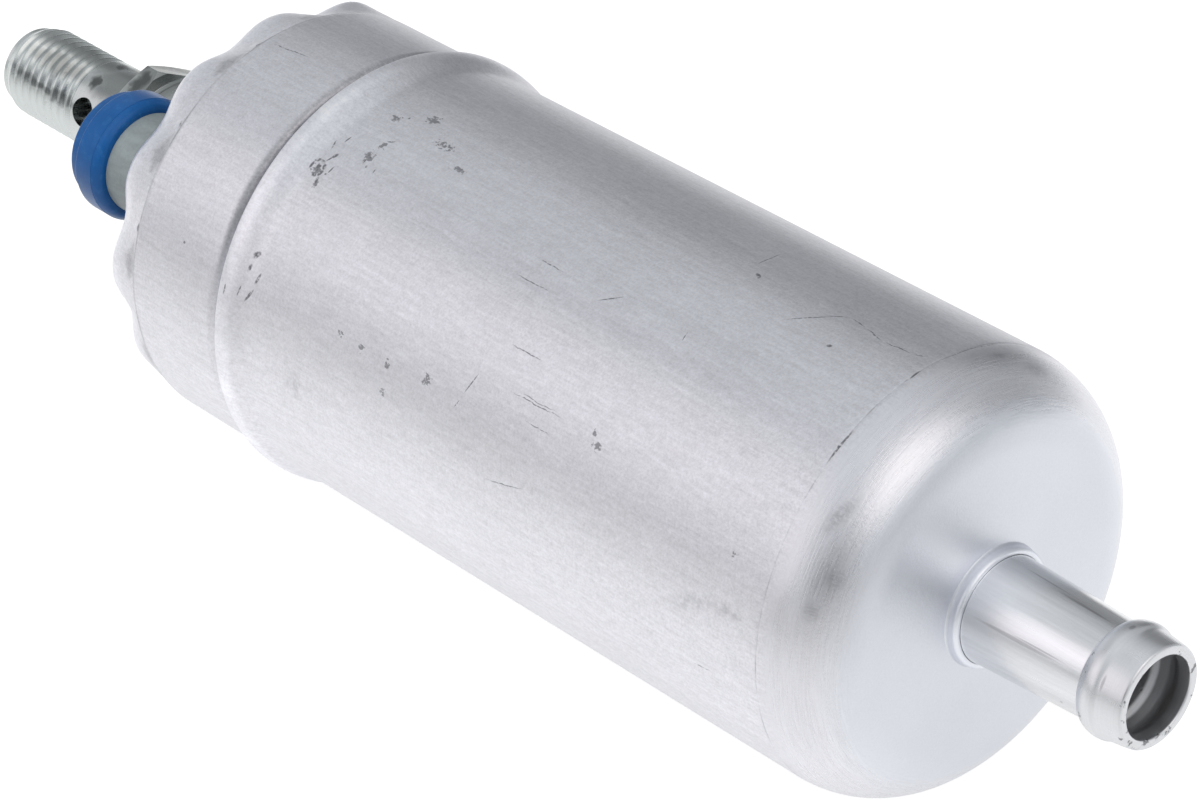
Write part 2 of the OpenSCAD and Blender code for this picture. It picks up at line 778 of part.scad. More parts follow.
module brush_spring(turn) {
    length = ring_in - brush_back - 0.1;
    color("lightgray") rotate([turn, 0, 0])
        translate([brush_mid_x, brush_back + 0.05, 0]) rotate([-90, 0, 0])
            coil(brush_spring_r, brush_spring_wire, length, 4);
}

module lead_near() {
    color("sienna") off_axis(pin_places[0]) bar(lead_start_x, lead_end_x, lead_r);
}

module lead_far() {
    end = around(far_r, far_end_turn);
    color("sienna") union() {
        off_axis(pin_places[1]) bar(lead_start_x, lead_turn_x, lead_r);
        off_axis(end) bar(lead_turn_x, lead_end_x, lead_r);
        translate([lead_turn_x, 0, 0]) rotate([0, 90, 0])
            rotate([0, 0, far_end_turn + 90])
                rotate_extrude(angle = far_turn - far_end_turn)
                    translate([far_r, 0]) circle(r = lead_r);
        for (place = [pin_places[1], end])
            translate([lead_turn_x, place[0], place[1]]) sphere(r = lead_r + 0.15);
    }
}

module end_cover() {
    color("darkgray") difference() {
        revolve(concat(
            [[collar_x - 0.1, 0], [collar_x - 0.1, cover_r - 0.5], [collar_x - 0.6, cover_r],
             [seal_x + 1.5, cover_r], [seal_x + 1.5, seal_ring_r - seal_r - 0.05],
             [seal_x - 1.5, seal_ring_r - seal_r - 0.05], [seal_x - 1.5, cover_r],
             [seat_cone_x, cover_r], [cover_face_x, seat_cone_r - 0.15],
             [cover_face_x, boss_base_r + 1]],
            run(cover_face_x - 1, boss_base_r + 1, 1, 1, 0, -90, 4),
            [[cover_face_x - boss_base_len, boss_base_r],
             [cover_face_x - boss_base_len - 1, boss_r],
             [boss_x + 0.4, boss_r], [boss_x, boss_r - 0.4], [boss_x, 0]]));
        bar(cavity_x, collar_x + cut, cavity_r);
        bar(valve_seat_x - cut, cavity_x + cut, seat_d / 2);
        bar(valve_chamber_x - cut, valve_seat_x, valve_chamber_r);
        bar(boss_x - cut, valve_chamber_x, neck_r);
        off_axis([turret_y, turret_z]) bar(cover_face_x - cut, cavity_x + cut, turret_r);
    }
}

module cover_seal() {
    color("black") translate([seal_x, 0, 0]) rotate([0, 90, 0])
        rotate_extrude() translate([seal_ring_r, 0]) circle(r = seal_r);
}

module terminal_turret() {
    color("slategray") difference() {
        off_axis([turret_y, turret_z]) revolve([
            [cavity_x, 0], [cavity_x, turret_r], [turret_mouth_x + 0.3, turret_r],
            [turret_mouth_x, turret_r - 0.3], [turret_mouth_x, turret_in],
            [socket_floor_x, turret_in], [socket_floor_x, 0]]);
        for (place = pin_places)
            off_axis(place) bar(socket_floor_x - cut, cavity_x + cut, pin_r);
    }
}

module terminal_collar() {
    step = collar_front_x + collar_step_at;
    color("royalblue") off_axis([turret_y, turret_z]) revolve(concat(
        [[collar_front_x, turret_in + 0.2], [collar_front_x, turret_r + 0.3],
         [collar_front_x + 0.3, turret_r + 0.6], [step, turret_r + 0.6],
         [step + 0.1, collar_rim_r - 0.3], [step + 0.4, collar_rim_r]],
        run(collar_back_x - 1.6, collar_rim_r - 1.2, 1.6, 1.2, 90, 0, 7),
        [[collar_back_x, turret_r], [turret_mouth_x + 0.3, turret_r],
         [turret_mouth_x, turret_r - 0.3], [turret_mouth_x, turret_in + 0.2]]));
}

module terminal_pin(place) {
    tip = socket_floor_x - pin_free;
    color("khaki") off_axis(place) revolve([
        [lead_start_x, 0], [lead_start_x, pin_r], [tip + 0.4, pin_r],
        [tip, pin_r - 0.35], [tip, 0]]);
}

module outlet_nipple() {
    hex_r = hex_af / 2 / cos(30);
    hex_mid_x = hex_x + hex_len / 2;
    hex_chamfer = 0.9;
    edge = 0.4;
    turns = round((thread_len - lead_in_len) / thread_pitch);
    thread = [for (k = [0:turns - 1]) let (x = tip_x + lead_in_len + k * thread_pitch)
        for (p = [[x, thread_r], [x + 0.2 * thread_pitch, thread_r],
            [x + 0.55 * thread_pitch, thread_root_r],
            [x + 0.7 * thread_pitch, thread_root_r]]) p];
    color("silver") difference() {
        union() {
            revolve(concat(
                [[tip_x, 0], [tip_x, thread_root_r - 0.6],
                 [tip_x + 0.4, thread_root_r - 0.1]], thread,
                [[tip_x + lead_in_len + turns * thread_pitch, thread_r],
                 [hex_mid_x, thread_r], [hex_mid_x, shoulder_r],
                 [washer_x - edge, shoulder_r], [washer_x, shoulder_r - edge],
                 [washer_x, neck_r], [neck_x0 - 0.5, neck_r], [neck_x0, neck_r - 0.5], [neck_x0, 0]]));
            intersection() {
                translate([hex_x, 0, 0]) rotate([hex_turn, 0, 0]) rotate([0, 90, 0])
                    cylinder(r = hex_r, h = hex_len, $fn = 6);
                revolve([[hex_x, 0], [hex_x, hex_af / 2 - 0.2],
                    [hex_x + hex_chamfer, hex_r + 0.1], [shoulder_x - edge, hex_r + 0.1],
                    [shoulder_x, shoulder_r + 0.5], [shoulder_x, 0]]);
            }
        }
        bar(spring_shoulder_x, neck_x0 + cut, spring_bore_r);
        bar(cross_x - nipple_bore_r, neck_x0, nipple_bore_r);
        rotate([cross_turn - 90, 0, 0]) translate([cross_x, 0, -thread_d])
            cylinder(r = cross_d / 2, h = 2 * thread_d);
    }
}

module copper_washer() {
    color("sienna") tube(washer_x, boss_x, washer_d / 2, neck_r + hole_fit);
}

module check_poppet() {
    face_x = valve_seat_x - seat_gap;
    back_x = face_x - poppet_t;
    edge = 0.3;
    stem_r = 1.6;
    stem_len = 3;
    color("goldenrod") revolve([
        [face_x, 0], [face_x, poppet_d / 2 - edge], [face_x - edge, poppet_d / 2],
        [back_x, poppet_d / 2], [back_x, stem_r], [back_x - stem_len, stem_r],
        [back_x - stem_len, 0]]);
}

module check_spring() {
    start_x = spring_shoulder_x + seat_gap;
    length = valve_seat_x - poppet_t - 2 * seat_gap - start_x;
    color("lightgray") translate([start_x, 0, 0]) rotate([0, 90, 0])
        coil(check_spring_r, check_spring_wire, length, 6);
}

module relief_ball() {
    color("silver") off_axis(relief_place)
        translate([relief_ball_x, 0, 0]) sphere(r = ball_d / 2);
}

module relief_spring() {
    start_x = relief_ball_x + ball_d / 2 * 0.62;
    length = cam_x1 - start_x - 0.05;
    color("lightgray") off_axis(relief_place)
        translate([start_x, 0, 0]) rotate([0, 90, 0])
            coil(relief_spring_r, relief_spring_wire, length, 5);
}

can();
inlet_spigot();
inlet_strainer();
spacer_ring();
inlet_plate();
cam_ring();
outlet_plate();
plate_screws();
inlet_bush();
outlet_bush();
rear_bush();
pump_rotor();
roller(1);  // roller_1
roller(2);  // roller_2
roller(3);  // roller_3
roller(4);  // roller_4
roller(5);  // roller_5
drive_shaft();
armature_core();
armature_winding();
commutator();
commutator_hub();
flux_tube();
magnet(180);  // magnet_left
magnet(0);  // magnet_right
magnet_clips();
brush_holder();
brush(180);  // brush_left
brush(0);  // brush_right
brush_spring(180);  // brush_spring_left
brush_spring(0);  // brush_spring_right
lead_near();
lead_far();
end_cover();
cover_seal();
terminal_turret();
terminal_collar();
terminal_pin(pin_places[0]);  // terminal_pin_1
terminal_pin(pin_places[1]);  // terminal_pin_2
outlet_nipple();
copper_washer();
check_poppet();
check_spring();
relief_ball();
relief_spring();
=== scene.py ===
"""Inline electric fuel pump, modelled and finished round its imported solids."""
import json
from math import atan2, ceil, cos, hypot, pi, radians, sin, sqrt, tan

import bmesh
import bpy
from mathutils import Matrix, Vector


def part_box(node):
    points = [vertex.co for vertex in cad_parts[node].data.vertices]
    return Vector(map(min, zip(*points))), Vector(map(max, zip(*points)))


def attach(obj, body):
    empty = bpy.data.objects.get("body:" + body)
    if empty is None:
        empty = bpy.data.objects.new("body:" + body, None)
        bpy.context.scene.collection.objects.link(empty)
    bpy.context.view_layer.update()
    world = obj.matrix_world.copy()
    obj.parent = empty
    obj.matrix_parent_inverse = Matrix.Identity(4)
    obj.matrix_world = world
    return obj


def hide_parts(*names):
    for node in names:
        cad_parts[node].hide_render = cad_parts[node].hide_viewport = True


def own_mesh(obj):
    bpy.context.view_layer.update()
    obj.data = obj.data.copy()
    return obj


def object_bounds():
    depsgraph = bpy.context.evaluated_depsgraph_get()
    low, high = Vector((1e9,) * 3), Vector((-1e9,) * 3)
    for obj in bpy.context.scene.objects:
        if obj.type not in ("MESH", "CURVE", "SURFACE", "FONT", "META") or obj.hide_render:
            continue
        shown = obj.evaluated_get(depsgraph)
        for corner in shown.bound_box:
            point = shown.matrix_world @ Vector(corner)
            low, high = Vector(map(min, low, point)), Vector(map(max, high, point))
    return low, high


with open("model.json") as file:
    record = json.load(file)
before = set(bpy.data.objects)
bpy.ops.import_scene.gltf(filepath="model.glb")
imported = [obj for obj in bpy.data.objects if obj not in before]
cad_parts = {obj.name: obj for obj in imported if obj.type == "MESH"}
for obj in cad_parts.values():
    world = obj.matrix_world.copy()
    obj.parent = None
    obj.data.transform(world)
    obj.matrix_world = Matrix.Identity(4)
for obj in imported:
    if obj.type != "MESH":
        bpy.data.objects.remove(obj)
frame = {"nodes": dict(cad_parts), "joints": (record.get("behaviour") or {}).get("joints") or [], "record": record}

bl_info = {
    "name": "Inline fuel pump",
    "version": (1, 0, 0),
    "blender": (4, 5, 0),
    "location": "View3D > Sidebar > Fuel pump",
    "description": "Models an inline fuel pump and finishes its surfaces",
    "category": "Object",
}

MM = 0.001
AXIS = Vector((1, 0, 0))
CAD_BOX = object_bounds()
MOUNTS = {mount["name"]: mount for mount in frame["record"]["mounts"]}
CAN_LOW, CAN_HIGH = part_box("can")
SPIGOT_LOW, SPIGOT_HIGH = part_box("inlet_spigot")
NIPPLE_LOW, NIPPLE_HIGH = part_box("outlet_nipple")
WASHER_LOW, WASHER_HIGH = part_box("copper_washer")
COVER_LOW, COVER_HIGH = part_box("end_cover")
TURRET_LOW, TURRET_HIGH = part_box("terminal_turret")
COLLAR_LOW, COLLAR_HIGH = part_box("terminal_collar")
TURRET_PLACE = (TURRET_LOW + TURRET_HIGH) / 2
COVER_FACE = CAN_LOW.x + 1.3 * MM


def length(name, description, default):
    """A length property with its default in millimetres."""
    return bpy.props.FloatProperty(
        name=name, description=description, default=default * MM, unit="LENGTH",
        precision=5)


def angle(name, description, default):
    """An angle property with its default in degrees."""
    return bpy.props.FloatProperty(
        name=name, description=description, default=radians(default), subtype="ANGLE")


def colour(name, description, default):
    """A colour property."""
    return bpy.props.FloatVectorProperty(
        name=name, description=description, default=default, size=3,
        subtype="COLOR", min=0, max=1)


def share(name, description, default, highest=1.0):
    """A plain number property that starts at zero."""
    return bpy.props.FloatProperty(
        name=name, description=description, default=default, min=0, max=highest)


class CanSizes(bpy.types.PropertyGroup):
    """Sizes of the drawn can."""
    wall_radius: length("Wall radius", "Outer radius of the straight wall",
                        MOUNTS["clamp_seat"]["dims"]["r_mm"])
    sheet: length("Sheet", "Thickness of the can's sheet", 1.2)
    front: length("Front", "Place along the axis where the dome starts", 39.3)
    back: length("Back", "Place along the axis where the bulge starts", -42.8)
    dome_depth: length("Dome depth", "Length of the dome's rounded corner", 9.5)
    dome_drop: length("Dome drop", "How far the rounded corner draws in", 8.4)
    dome_crown: length("Dome crown", "Crown of the end face", 0.3)
    neck_foot: length("Neck foot", "Radius where the neck leaves the end face", 7.25)
    neck_hole: length("Neck hole", "Radius of the hole for the spigot", 6.3)
    neck_crest: length("Neck crest", "Rounding of the neck's rim", 0.6)
    neck_short: length("Neck set back", "How far the neck ends below its full length", 0.5)
    bulge_height: length("Bulge height", "Height of the bulge above the wall", 1.13)
    bulge_length: length("Bulge length", "Length of the bulge", 5.2)
    bulge_edge: length("Bulge edge", "Rounding of the bulge's edge at the groove", 0.35)
    groove_width: length("Groove width", "Width of the rolled groove", 2.4)
    groove_depth: length("Groove depth", "Depth of the groove below the wall", 0.8)
    collar_height: length("Collar height", "Height of the collar above the wall", 0.1)
    collar_length: length("Collar length", "Length from the groove to the fold", 14.0)
    collar_roll: length("Collar roll", "Rounding of the collar into the groove", 1.3)
    lip_inner: length("Lip inner radius", "Inner radius of the crimped lip", 21.9)
    lip_round: length("Lip rounding", "Rounding of the lip's outer edge", 2.0)
    lip_draft: length("Lip draft", "How far the lip draws in between its marks", 1.1)
    dent_depth: length("Dent depth", "Depth of a crimp mark at the lip", 1.75)
    dents: bpy.props.IntProperty(
        name="Crimp marks", description="Number of crimp marks", default=12, min=3)
    dent_turn: angle("Crimp turn", "Turn of the first crimp mark at the lip", 15)
    dent_lean: angle("Crimp lean", "How far a crimp mark leans towards the fold", 2)
    proud_turn: angle("Proud lobe turn", "Turn of the lobe that is drawn in less", 60)
    seam_at: length("Seam", "Distance of the seam line from the dome's start", 1.0)
    bulge_peak: share("Bulge peak", "Part of the bulge behind its crest", 0.87)

    @property
    def bulge_x(self):
        """Place of the bulge's crest."""
        return self.back - self.bulge_peak * self.bulge_length

    @property
    def step_x(self):
        """Place where the bulge drops into the groove."""
        return self.back - self.bulge_length

    @property
    def collar_x(self):
        """Place where the collar starts behind the groove."""
        return self.step_x - self.groove_width

    @property
    def fold_x(self):
        """Place where the collar folds into the crimped lip."""
        return self.collar_x - self.collar_length

    @property
    def collar_radius(self):
        """Outer radius of the collar."""
        return self.wall_radius + self.collar_height

    @property
    def neck_x(self):
        """Place where the neck ends."""
        return CAN_HIGH.x - self.neck_short


class SpigotSizes(bpy.types.PropertyGroup):
    """Sizes of the inlet spigot."""
    root_radius: length("Root radius", "Radius where the spigot leaves the neck", 6.2)
    tip_radius: length("Tip radius", "Radius next to the hose bead", 5.7)
    bead_radius: length("Bead radius", "Radius of the hose bead", 6.65)
    rim_radius: length("Rim radius", "Radius at the mouth", 5.95)
    bore_radius: length("Bore radius", "Radius of the bore",
                        MOUNTS["inlet_bore"]["dims"]["r_mm"])
    bead_back: length("Bead foot", "Distance of the bead's foot from the mouth", 6.0)
    bead_crest: length("Bead crest", "Distance of the bead's crest from the mouth", 4.1)
    bead_rise: length("Bead rise", "Height of the bead's rounded side", 0.95)


class OutletSizes(bpy.types.PropertyGroup):
    """Sizes of the outlet stud, its washer and the cover's boss."""
    thread_radius: length("Thread radius", "Outer radius of the thread",
                          MOUNTS["outlet_shank"]["dims"]["r_mm"])
    pitch: length("Pitch", "Pitch of the thread", 1.5)
    thread_depth: length("Thread depth", "Depth of the thread's grooves", 0.6)
    thread_end: length("Thread end", "Place along the axis where the thread ends",
                       -103.7)
    lead_in: length("Lead-in", "Length of the tapered lead-in", 2.8)
    hex_flats: length("Hexagon", "Width of the hexagon across its flats", 17)
    hex_length: length("Hexagon length", "Length of the hexagon", 3.5)
    shoulder_radius: length("Shoulder", "Radius of the shoulder on the washer", 8.4)
    hex_turn: angle("Hexagon turn", "Turn of the hexagon about the axis", 5)
    bore_radius: length("Bore radius", "Radius of the stud's inner bore", 2.2)
    cross_radius: length("Cross hole", "Radius of the cross hole", 1.9)
    cross_at: length("Cross hole place", "Place of the cross hole on the axis", -101.7)
    cross_turn: angle("Cross hole turn", "Turn of the cross hole from +Y", 161)
    boss_radius: length("Boss radius", "Radius of the cover's boss", 7.4)
    boss_foot: length("Boss foot", "Radius of the boss beside the turret", 8.66)
    boss_step: length("Boss step", "Length of the boss's wider foot", 6.5)


class TerminalSizes(bpy.types.PropertyGroup):
    """Sizes of the terminal turret and its collar."""
    turret_radius: length("Turret radius", "Outer radius of the turret", 6.34)
    socket_radius: length("Socket radius", "Inner radius of the turret", 4.94)
    socket_floor: length("Socket floor", "Place of the socket's floor", -72.6)
    collar_radius: length("Collar radius", "Radius of the collar's rim", 7.8)
    collar_front: length("Collar front", "Radius of the collar's front part", 6.94)
    collar_step: length("Collar step", "Length of the collar's front part", 1.9)


class Finish(bpy.types.PropertyGroup):
    """Colours of the finishes that show."""
    aluminium: colour("Aluminium", "Drawn aluminium of the can", (0.80, 0.80, 0.84))
    # The end face's bluer colour is a painted reflection of the floor.
    face: colour("Face", "Cooler aluminium of the end face", (0.775, 0.795, 0.845))
    spigot: colour("Spigot", "Bright aluminium of the spigot", (0.80, 0.81, 0.83))
    zinc: colour("Zinc", "Zinc plating of the outlet stud", (0.66, 0.70, 0.69))
    collar: colour("Collar", "Blue plastic of the collar", (0.003, 0.082, 0.275))
    turret: colour("Turret", "Grey plastic of the turret", (0.255, 0.29, 0.295))
    copper: colour("Copper", "Copper of the washer", (0.42, 0.20, 0.12))
    # This dark colour also paints the shade in the crimp nicks.
    smudge_and_shade: colour("Smudge", "Dark scuffs on the can", (0.10, 0.105, 0.115))


class Studio(bpy.types.PropertyGroup):
    """Camera, floor and light."""
    lens: bpy.props.FloatProperty(
        name="Lens", description="Focal length of the camera on a 36 mm sensor",
        default=139.32)
    distance: length("Distance", "Distance from the camera to the aim", 526.1)
    azimuth: angle("Azimuth", "Turn of the view about the vertical", 47.75)
    elevation: angle("Elevation", "Height of the view above the horizon", 30.97)
    aim: bpy.props.FloatVectorProperty(
        name="Aim", description="Point that the camera looks at",
        default=(-0.012, 0, -0.002184), subtype="TRANSLATION", unit="LENGTH")
    floor_gap: length("Floor gap", "Gap between the pump and the floor", 0.5)
    floor_size: length("Floor size", "Width of the floor", 6000)
    fill: share("Fill", "Strength of the world's soft light", 0.55, 4)


# Outlines, as lists of points of place along the axis and radius

def run(centre, size, start, end, steps):
    """Points along an elliptical arc, given its centre, half axes and angles."""
    points = []
    for step in range(steps + 1):
        angle = radians(start + (end - start) * step / steps)
        points.append((centre[0] + size[0] * cos(angle), centre[1] + size[1] * sin(angle)))
    return points


def blend(start, end, steps):
    """Points that leave and reach a level radius smoothly."""
    points = []
    for step in range(steps + 1):
        part = step / steps
        level = (1 - cos(pi * part)) / 2
        points.append((start[0] + (end[0] - start[0]) * part,
                       start[1] + (end[1] - start[1]) * level))
    return points


def rise(start, end, steps):
    """Points of a shallow crown: a smooth step along the axis over the radius."""
    return [(x, r) for r, x in blend((start[1], start[0]), (end[1], end[0]), steps)]


def rounded(corners, steps=4):
    """Points of an outline whose corners, given as place, radius and rounding, are arcs."""
    points = []
    for index, (x, r, rounding) in enumerate(corners):
        corner = Vector((x, r))
        if not rounding:
            points.append((x, r))
            continue
        before = (Vector(corners[index - 1][:2]) - corner).normalized()
        after = (Vector(corners[(index + 1) % len(corners)][:2]) - corner).normalized()
        half = before.angle(after) / 2
        centre = corner + (before + after).normalized() * rounding / sin(half)
        first = corner + before * rounding / tan(half) - centre
        last = corner + after * rounding / tan(half) - centre
        for step in range(steps + 1):
            part = step / steps
            arm = first.slerp(last, part) * first.length
            points.append(tuple(centre + arm))
    return points


# Meshes

def revolve(points, steps=160, place=(0, 0), closed=True):
    """A mesh turned from an outline about an axis along X at a place in Y and Z."""
    mesh = bmesh.new()
    ring = [mesh.verts.new((x, place[0], place[1] + r)) for x, r in points]
    pairs = list(zip(ring, ring[1:]))
    if closed:
        pairs.append((ring[-1], ring[0]))
    edges = [mesh.edges.new(pair) for pair in pairs]
    bmesh.ops.spin(mesh, geom=ring + edges, cent=(0, place[0], place[1]), axis=AXIS,
                   angle=2 * pi, steps=steps, use_merge=True)
    bmesh.ops.remove_doubles(mesh, verts=mesh.verts, dist=1e-7)
    bmesh.ops.recalc_face_normals(mesh, faces=mesh.faces)
    return mesh


def solid_bar(points, steps=96, place=(0, 0)):
    """A turned solid whose outline starts and ends on its axis."""
    return revolve(points, steps, place, closed=False)


def piece(name, mesh, material, nodes=(), body="housing", crease=32):
    """An object from a bmesh, smooth but for its creases, placed in the frame."""
    limit = radians(crease)
    for face in mesh.faces:
        face.smooth = True
    for edge in mesh.edges:
        if len(edge.link_faces) == 2 and edge.calc_face_angle(0) > limit:
            edge.smooth = False
    data = bpy.data.meshes.new(name)
    mesh.to_mesh(data)
    mesh.free()
    data.materials.append(material)
    made = bpy.data.objects.new(name, data)
    bpy.context.scene.collection.objects.link(made)
    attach(made, body)
    if nodes:
        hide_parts(*nodes)
    return made


def loose(name, mesh):
    """A helper object from a bmesh, to be used up by a cut."""
    data = bpy.data.meshes.new(name)
    mesh.to_mesh(data)
    mesh.free()
    made = bpy.data.objects.new(name, data)
    bpy.context.scene.collection.objects.link(made)
    return made


def cut(mesh, tools):
    """The mesh less the tools, which are bmeshes that are used up."""
    target = loose("cut_target", mesh)
    for number, tool in enumerate(tools):
        helper = loose(f"cut_tool_{number}", tool)
        modifier = target.modifiers.new("cut", "BOOLEAN")
        modifier.operation = "DIFFERENCE"
        modifier.solver = "EXACT"
        modifier.object = helper
    bpy.context.view_layer.update()
    evaluated = target.evaluated_get(bpy.context.evaluated_depsgraph_get())
    result = bmesh.new()
    result.from_mesh(evaluated.to_mesh())
    evaluated.to_mesh_clear()
    for modifier in target.modifiers:
        bpy.data.objects.remove(modifier.object)
    bpy.data.objects.remove(target)
    bmesh.ops.remove_doubles(result, verts=result.verts, dist=1e-7)
    return result


def drill(radius, start, end, place=(0, 0)):
    """A cutting bar along X."""
    return solid_bar([(start, 0), (start, radius), (end, radius), (end, 0)], 64, place)


def join(mesh, others):
    """One bmesh that also holds the others, which are used up."""
    for other in others:
        data = bpy.data.meshes.new("join")
        other.to_mesh(data)
        other.free()
        mesh.from_mesh(data)
        bpy.data.meshes.remove(data)
    return mesh


def smooth_step(value):
    """A smooth rise from 0 to 1 while the value goes from 0 to 1."""
    value = min(max(value, 0), 1)
    return value * value * (3 - 2 * value)


# Materials

class Value:
    """A socket that Python's operators work on."""

    def __init__(self, nodes, socket):
        self.nodes = nodes
        self.socket = socket

    def maths(self, operation, *values):
        """A Math node on some values."""
        return self.nodes.add("ShaderNodeMath", {"operation": operation},
                              dict(enumerate(values)))

    def __add__(self, other):
        return self.maths("ADD", self, other)

    def __radd__(self, other):
        return self.maths("ADD", other, self)

    def __sub__(self, other):
        return self.maths("SUBTRACT", self, other)

    def __rsub__(self, other):
        return self.maths("SUBTRACT", other, self)

    def __mul__(self, other):
        return self.maths("MULTIPLY", self, other)

    def __rmul__(self, other):
        return self.maths("MULTIPLY", other, self)

    def __truediv__(self, other):
        return self.maths("DIVIDE", self, other)

    def __pow__(self, other):
        return self.maths("POWER", self, other)

    def __abs__(self):
        return self.maths("ABSOLUTE", self)


class Nodes:
    """A node tree with one method that adds any node."""

    def __init__(self, tree):
        self.tree = tree
        tree.nodes.clear()

    def add(self, kind, settings=None, sockets=None, output=0):
        """Adds a node and returns one of its outputs as a Value."""
        node = self.tree.nodes.new(kind)
        for name, setting in (settings or {}).items():
            setattr(node, name, setting)
        for key, value in (sockets or {}).items():
            socket = self.find(node.inputs, key)
            if isinstance(value, Value):
                self.tree.links.new(value.socket, socket)
            elif socket.type == "RGBA" and len(value) == 3:
                socket.default_value = (*value, 1)
            else:
                socket.default_value = value
        if not node.outputs:
            return node
        return Value(self, self.find(node.outputs, output))

    @staticmethod
    def find(sockets, key):
        """A socket by its number, identifier or name."""
        if isinstance(key, int):
            return sockets[key]
        for socket in sockets:
            if socket.identifier == key:
                return socket
        return sockets[key]

    def position(self):
        """The point on the object, in metres."""
        return self.add("ShaderNodeTexCoord", output="Object")

    def parts(self, vector):
        """The three parts of a vector."""
        return [self.add("ShaderNodeSeparateXYZ", None, {0: vector}, output=axis)
                for axis in range(3)]

    def vector(self, x, y, z):
        """A vector of three values."""
        return self.add("ShaderNodeCombineXYZ", None, {0: x, 1: y, 2: z})

    def dot(self, first, second):
        """The dot product of two vectors."""
        return self.add("ShaderNodeVectorMath", {"operation": "DOT_PRODUCT"},
                        {0: first, 1: second}, output="Value")

    def stretched(self, vector, scale):
        """A vector with each part times its own number."""
        return self.add("ShaderNodeMapping", {"vector_type": "POINT"},
                        {"Vector": vector, "Scale": scale})

    def noise(self, vector, scale, detail=2.0, rough=0.5, distortion=0.0):
        """Noise from 0 to 1, with its middle at a half."""
        return self.add("ShaderNodeTexNoise", None, {
            "Vector": vector, "Scale": scale, "Detail": detail, "Roughness": rough,
            "Distortion": distortion})

    def step(self, value, low, high, start=0.0, end=1.0):
        """A smooth change from start to end while the value goes from low to high."""
        return self.add("ShaderNodeMapRange", {"interpolation_type": "SMOOTHSTEP"}, {
            "Value": value, "From Min": low, "From Max": high, "To Min": start,
            "To Max": end})

    def fall(self, value, low, high):
        """A smooth change from one to zero while the value goes from low to high."""
        return self.step(value, low, high, 1.0, 0.0)

    def most(self, *values):
        """The highest of some values."""
        result = values[0]
        for value in values[1:]:
            result = result.maths("MAXIMUM", result, value)
        return result

    def least(self, *values):
        """The lowest of some values."""
        result = values[0]
        for value in values[1:]:
            result = result.maths("MINIMUM", result, value)
        return result

    def mix(self, factor, first, second):
        """A colour between two colours."""
        return self.add("ShaderNodeMix", {"data_type": "RGBA"}, {
            "Factor_Float": factor, "A_Color": first, "B_Color": second},
            output="Result_Color")

    def shade(self, base, factor):
        """A colour made lighter or darker by a factor."""
        grey = self.vector(factor, factor, factor)
        return self.add("ShaderNodeMix", {"data_type": "RGBA", "blend_type": "MULTIPLY"}, {
            "Factor_Float": 1.0, "A_Color": base, "B_Color": grey},
            output="Result_Color")

    def surface(self, colour, rough, height, metallic=0.0, ior=1.5):
        """Ends the tree in one main shader, with a height in millimetres."""
        normal = self.add("ShaderNodeBump", None, {
            "Strength": 1.0, "Distance": MM, "Height": height})
        shader = self.add("ShaderNodeBsdfPrincipled", None, {
            "Base Color": colour, "Metallic": metallic, "Roughness": rough, "IOR": ior,
            "Normal": normal})
        self.add("ShaderNodeOutputMaterial", None, {"Surface": shader})


def new_material(name):
    """A material and its empty node tree."""
    material = bpy.data.materials.new(name)
    material.use_nodes = True
    return material, Nodes(material.node_tree)


class Unrolled:
    """Coordinates on a round wall: place along the axis and arc round it, in mm."""

    def __init__(self, nodes, radius, place=(0, 0)):
        self.nodes = nodes
        self.radius = radius / MM
        self.point = nodes.position()
        x, y, z = nodes.parts(self.point)
        self.x = x / MM
        self.y = y / MM - place[0] / MM
        self.z = z / MM - place[1] / MM
        self.turn = self.x.maths("ARCTAN2", self.y, self.z)
        self.arc = self.turn * self.radius
        self.reach = (self.y * self.y + self.z * self.z) ** 0.5

    def arc_at(self, turn):
        """Arc of a turn that is given in degrees from +Y towards +Z."""
        return ((90 - turn + 180) % 360 - 180) * pi / 180 * self.radius

    def away(self, x, turn, size, slant, flat):
        """The squared distance to an oval's centre, with 1 at its edge."""
        arc = self.arc_at(turn)
        total = 0.0
        for half, angle in ((size[0], slant), (size[1], slant + pi / 2)):
            a, b = cos(angle) / half, sin(angle) / half
            part = self.nodes.dot(flat, (a, b, -a * x - b * arc))
            total = part * part + total
        return total

    def nearest(self, marks, flat):
        """How far a place is from the nearest of some ovals; flat has 1 as its z."""
        nearest = self.away(*marks[0], flat)
        for mark in marks[1:]:
            nearest = self.nodes.least(nearest, self.away(*mark, flat))
        return nearest ** 0.5

    def cuts(self, cuts, flat):
        """How far a place is from the nearest of some thin cuts."""
        marks = []
        for start, end, width in cuts:
            along = end[0] - start[0]
            across = self.arc_at(end[1]) - self.arc_at(start[1])
            marks.append(((start[0] + end[0]) / 2, (start[1] + end[1]) / 2,
                          (hypot(along, across) / 2, width), atan2(across, along)))
        return self.nearest(marks, flat)

    def patches(self, patches, flat):
        """How far a place is from the nearest of some oval patches."""
        return self.nearest([(*place, size, radians(slant))
                             for place, size, slant in patches], flat)


# Cuts in the can: start and end as x in mm and turn in degrees, then half width in mm

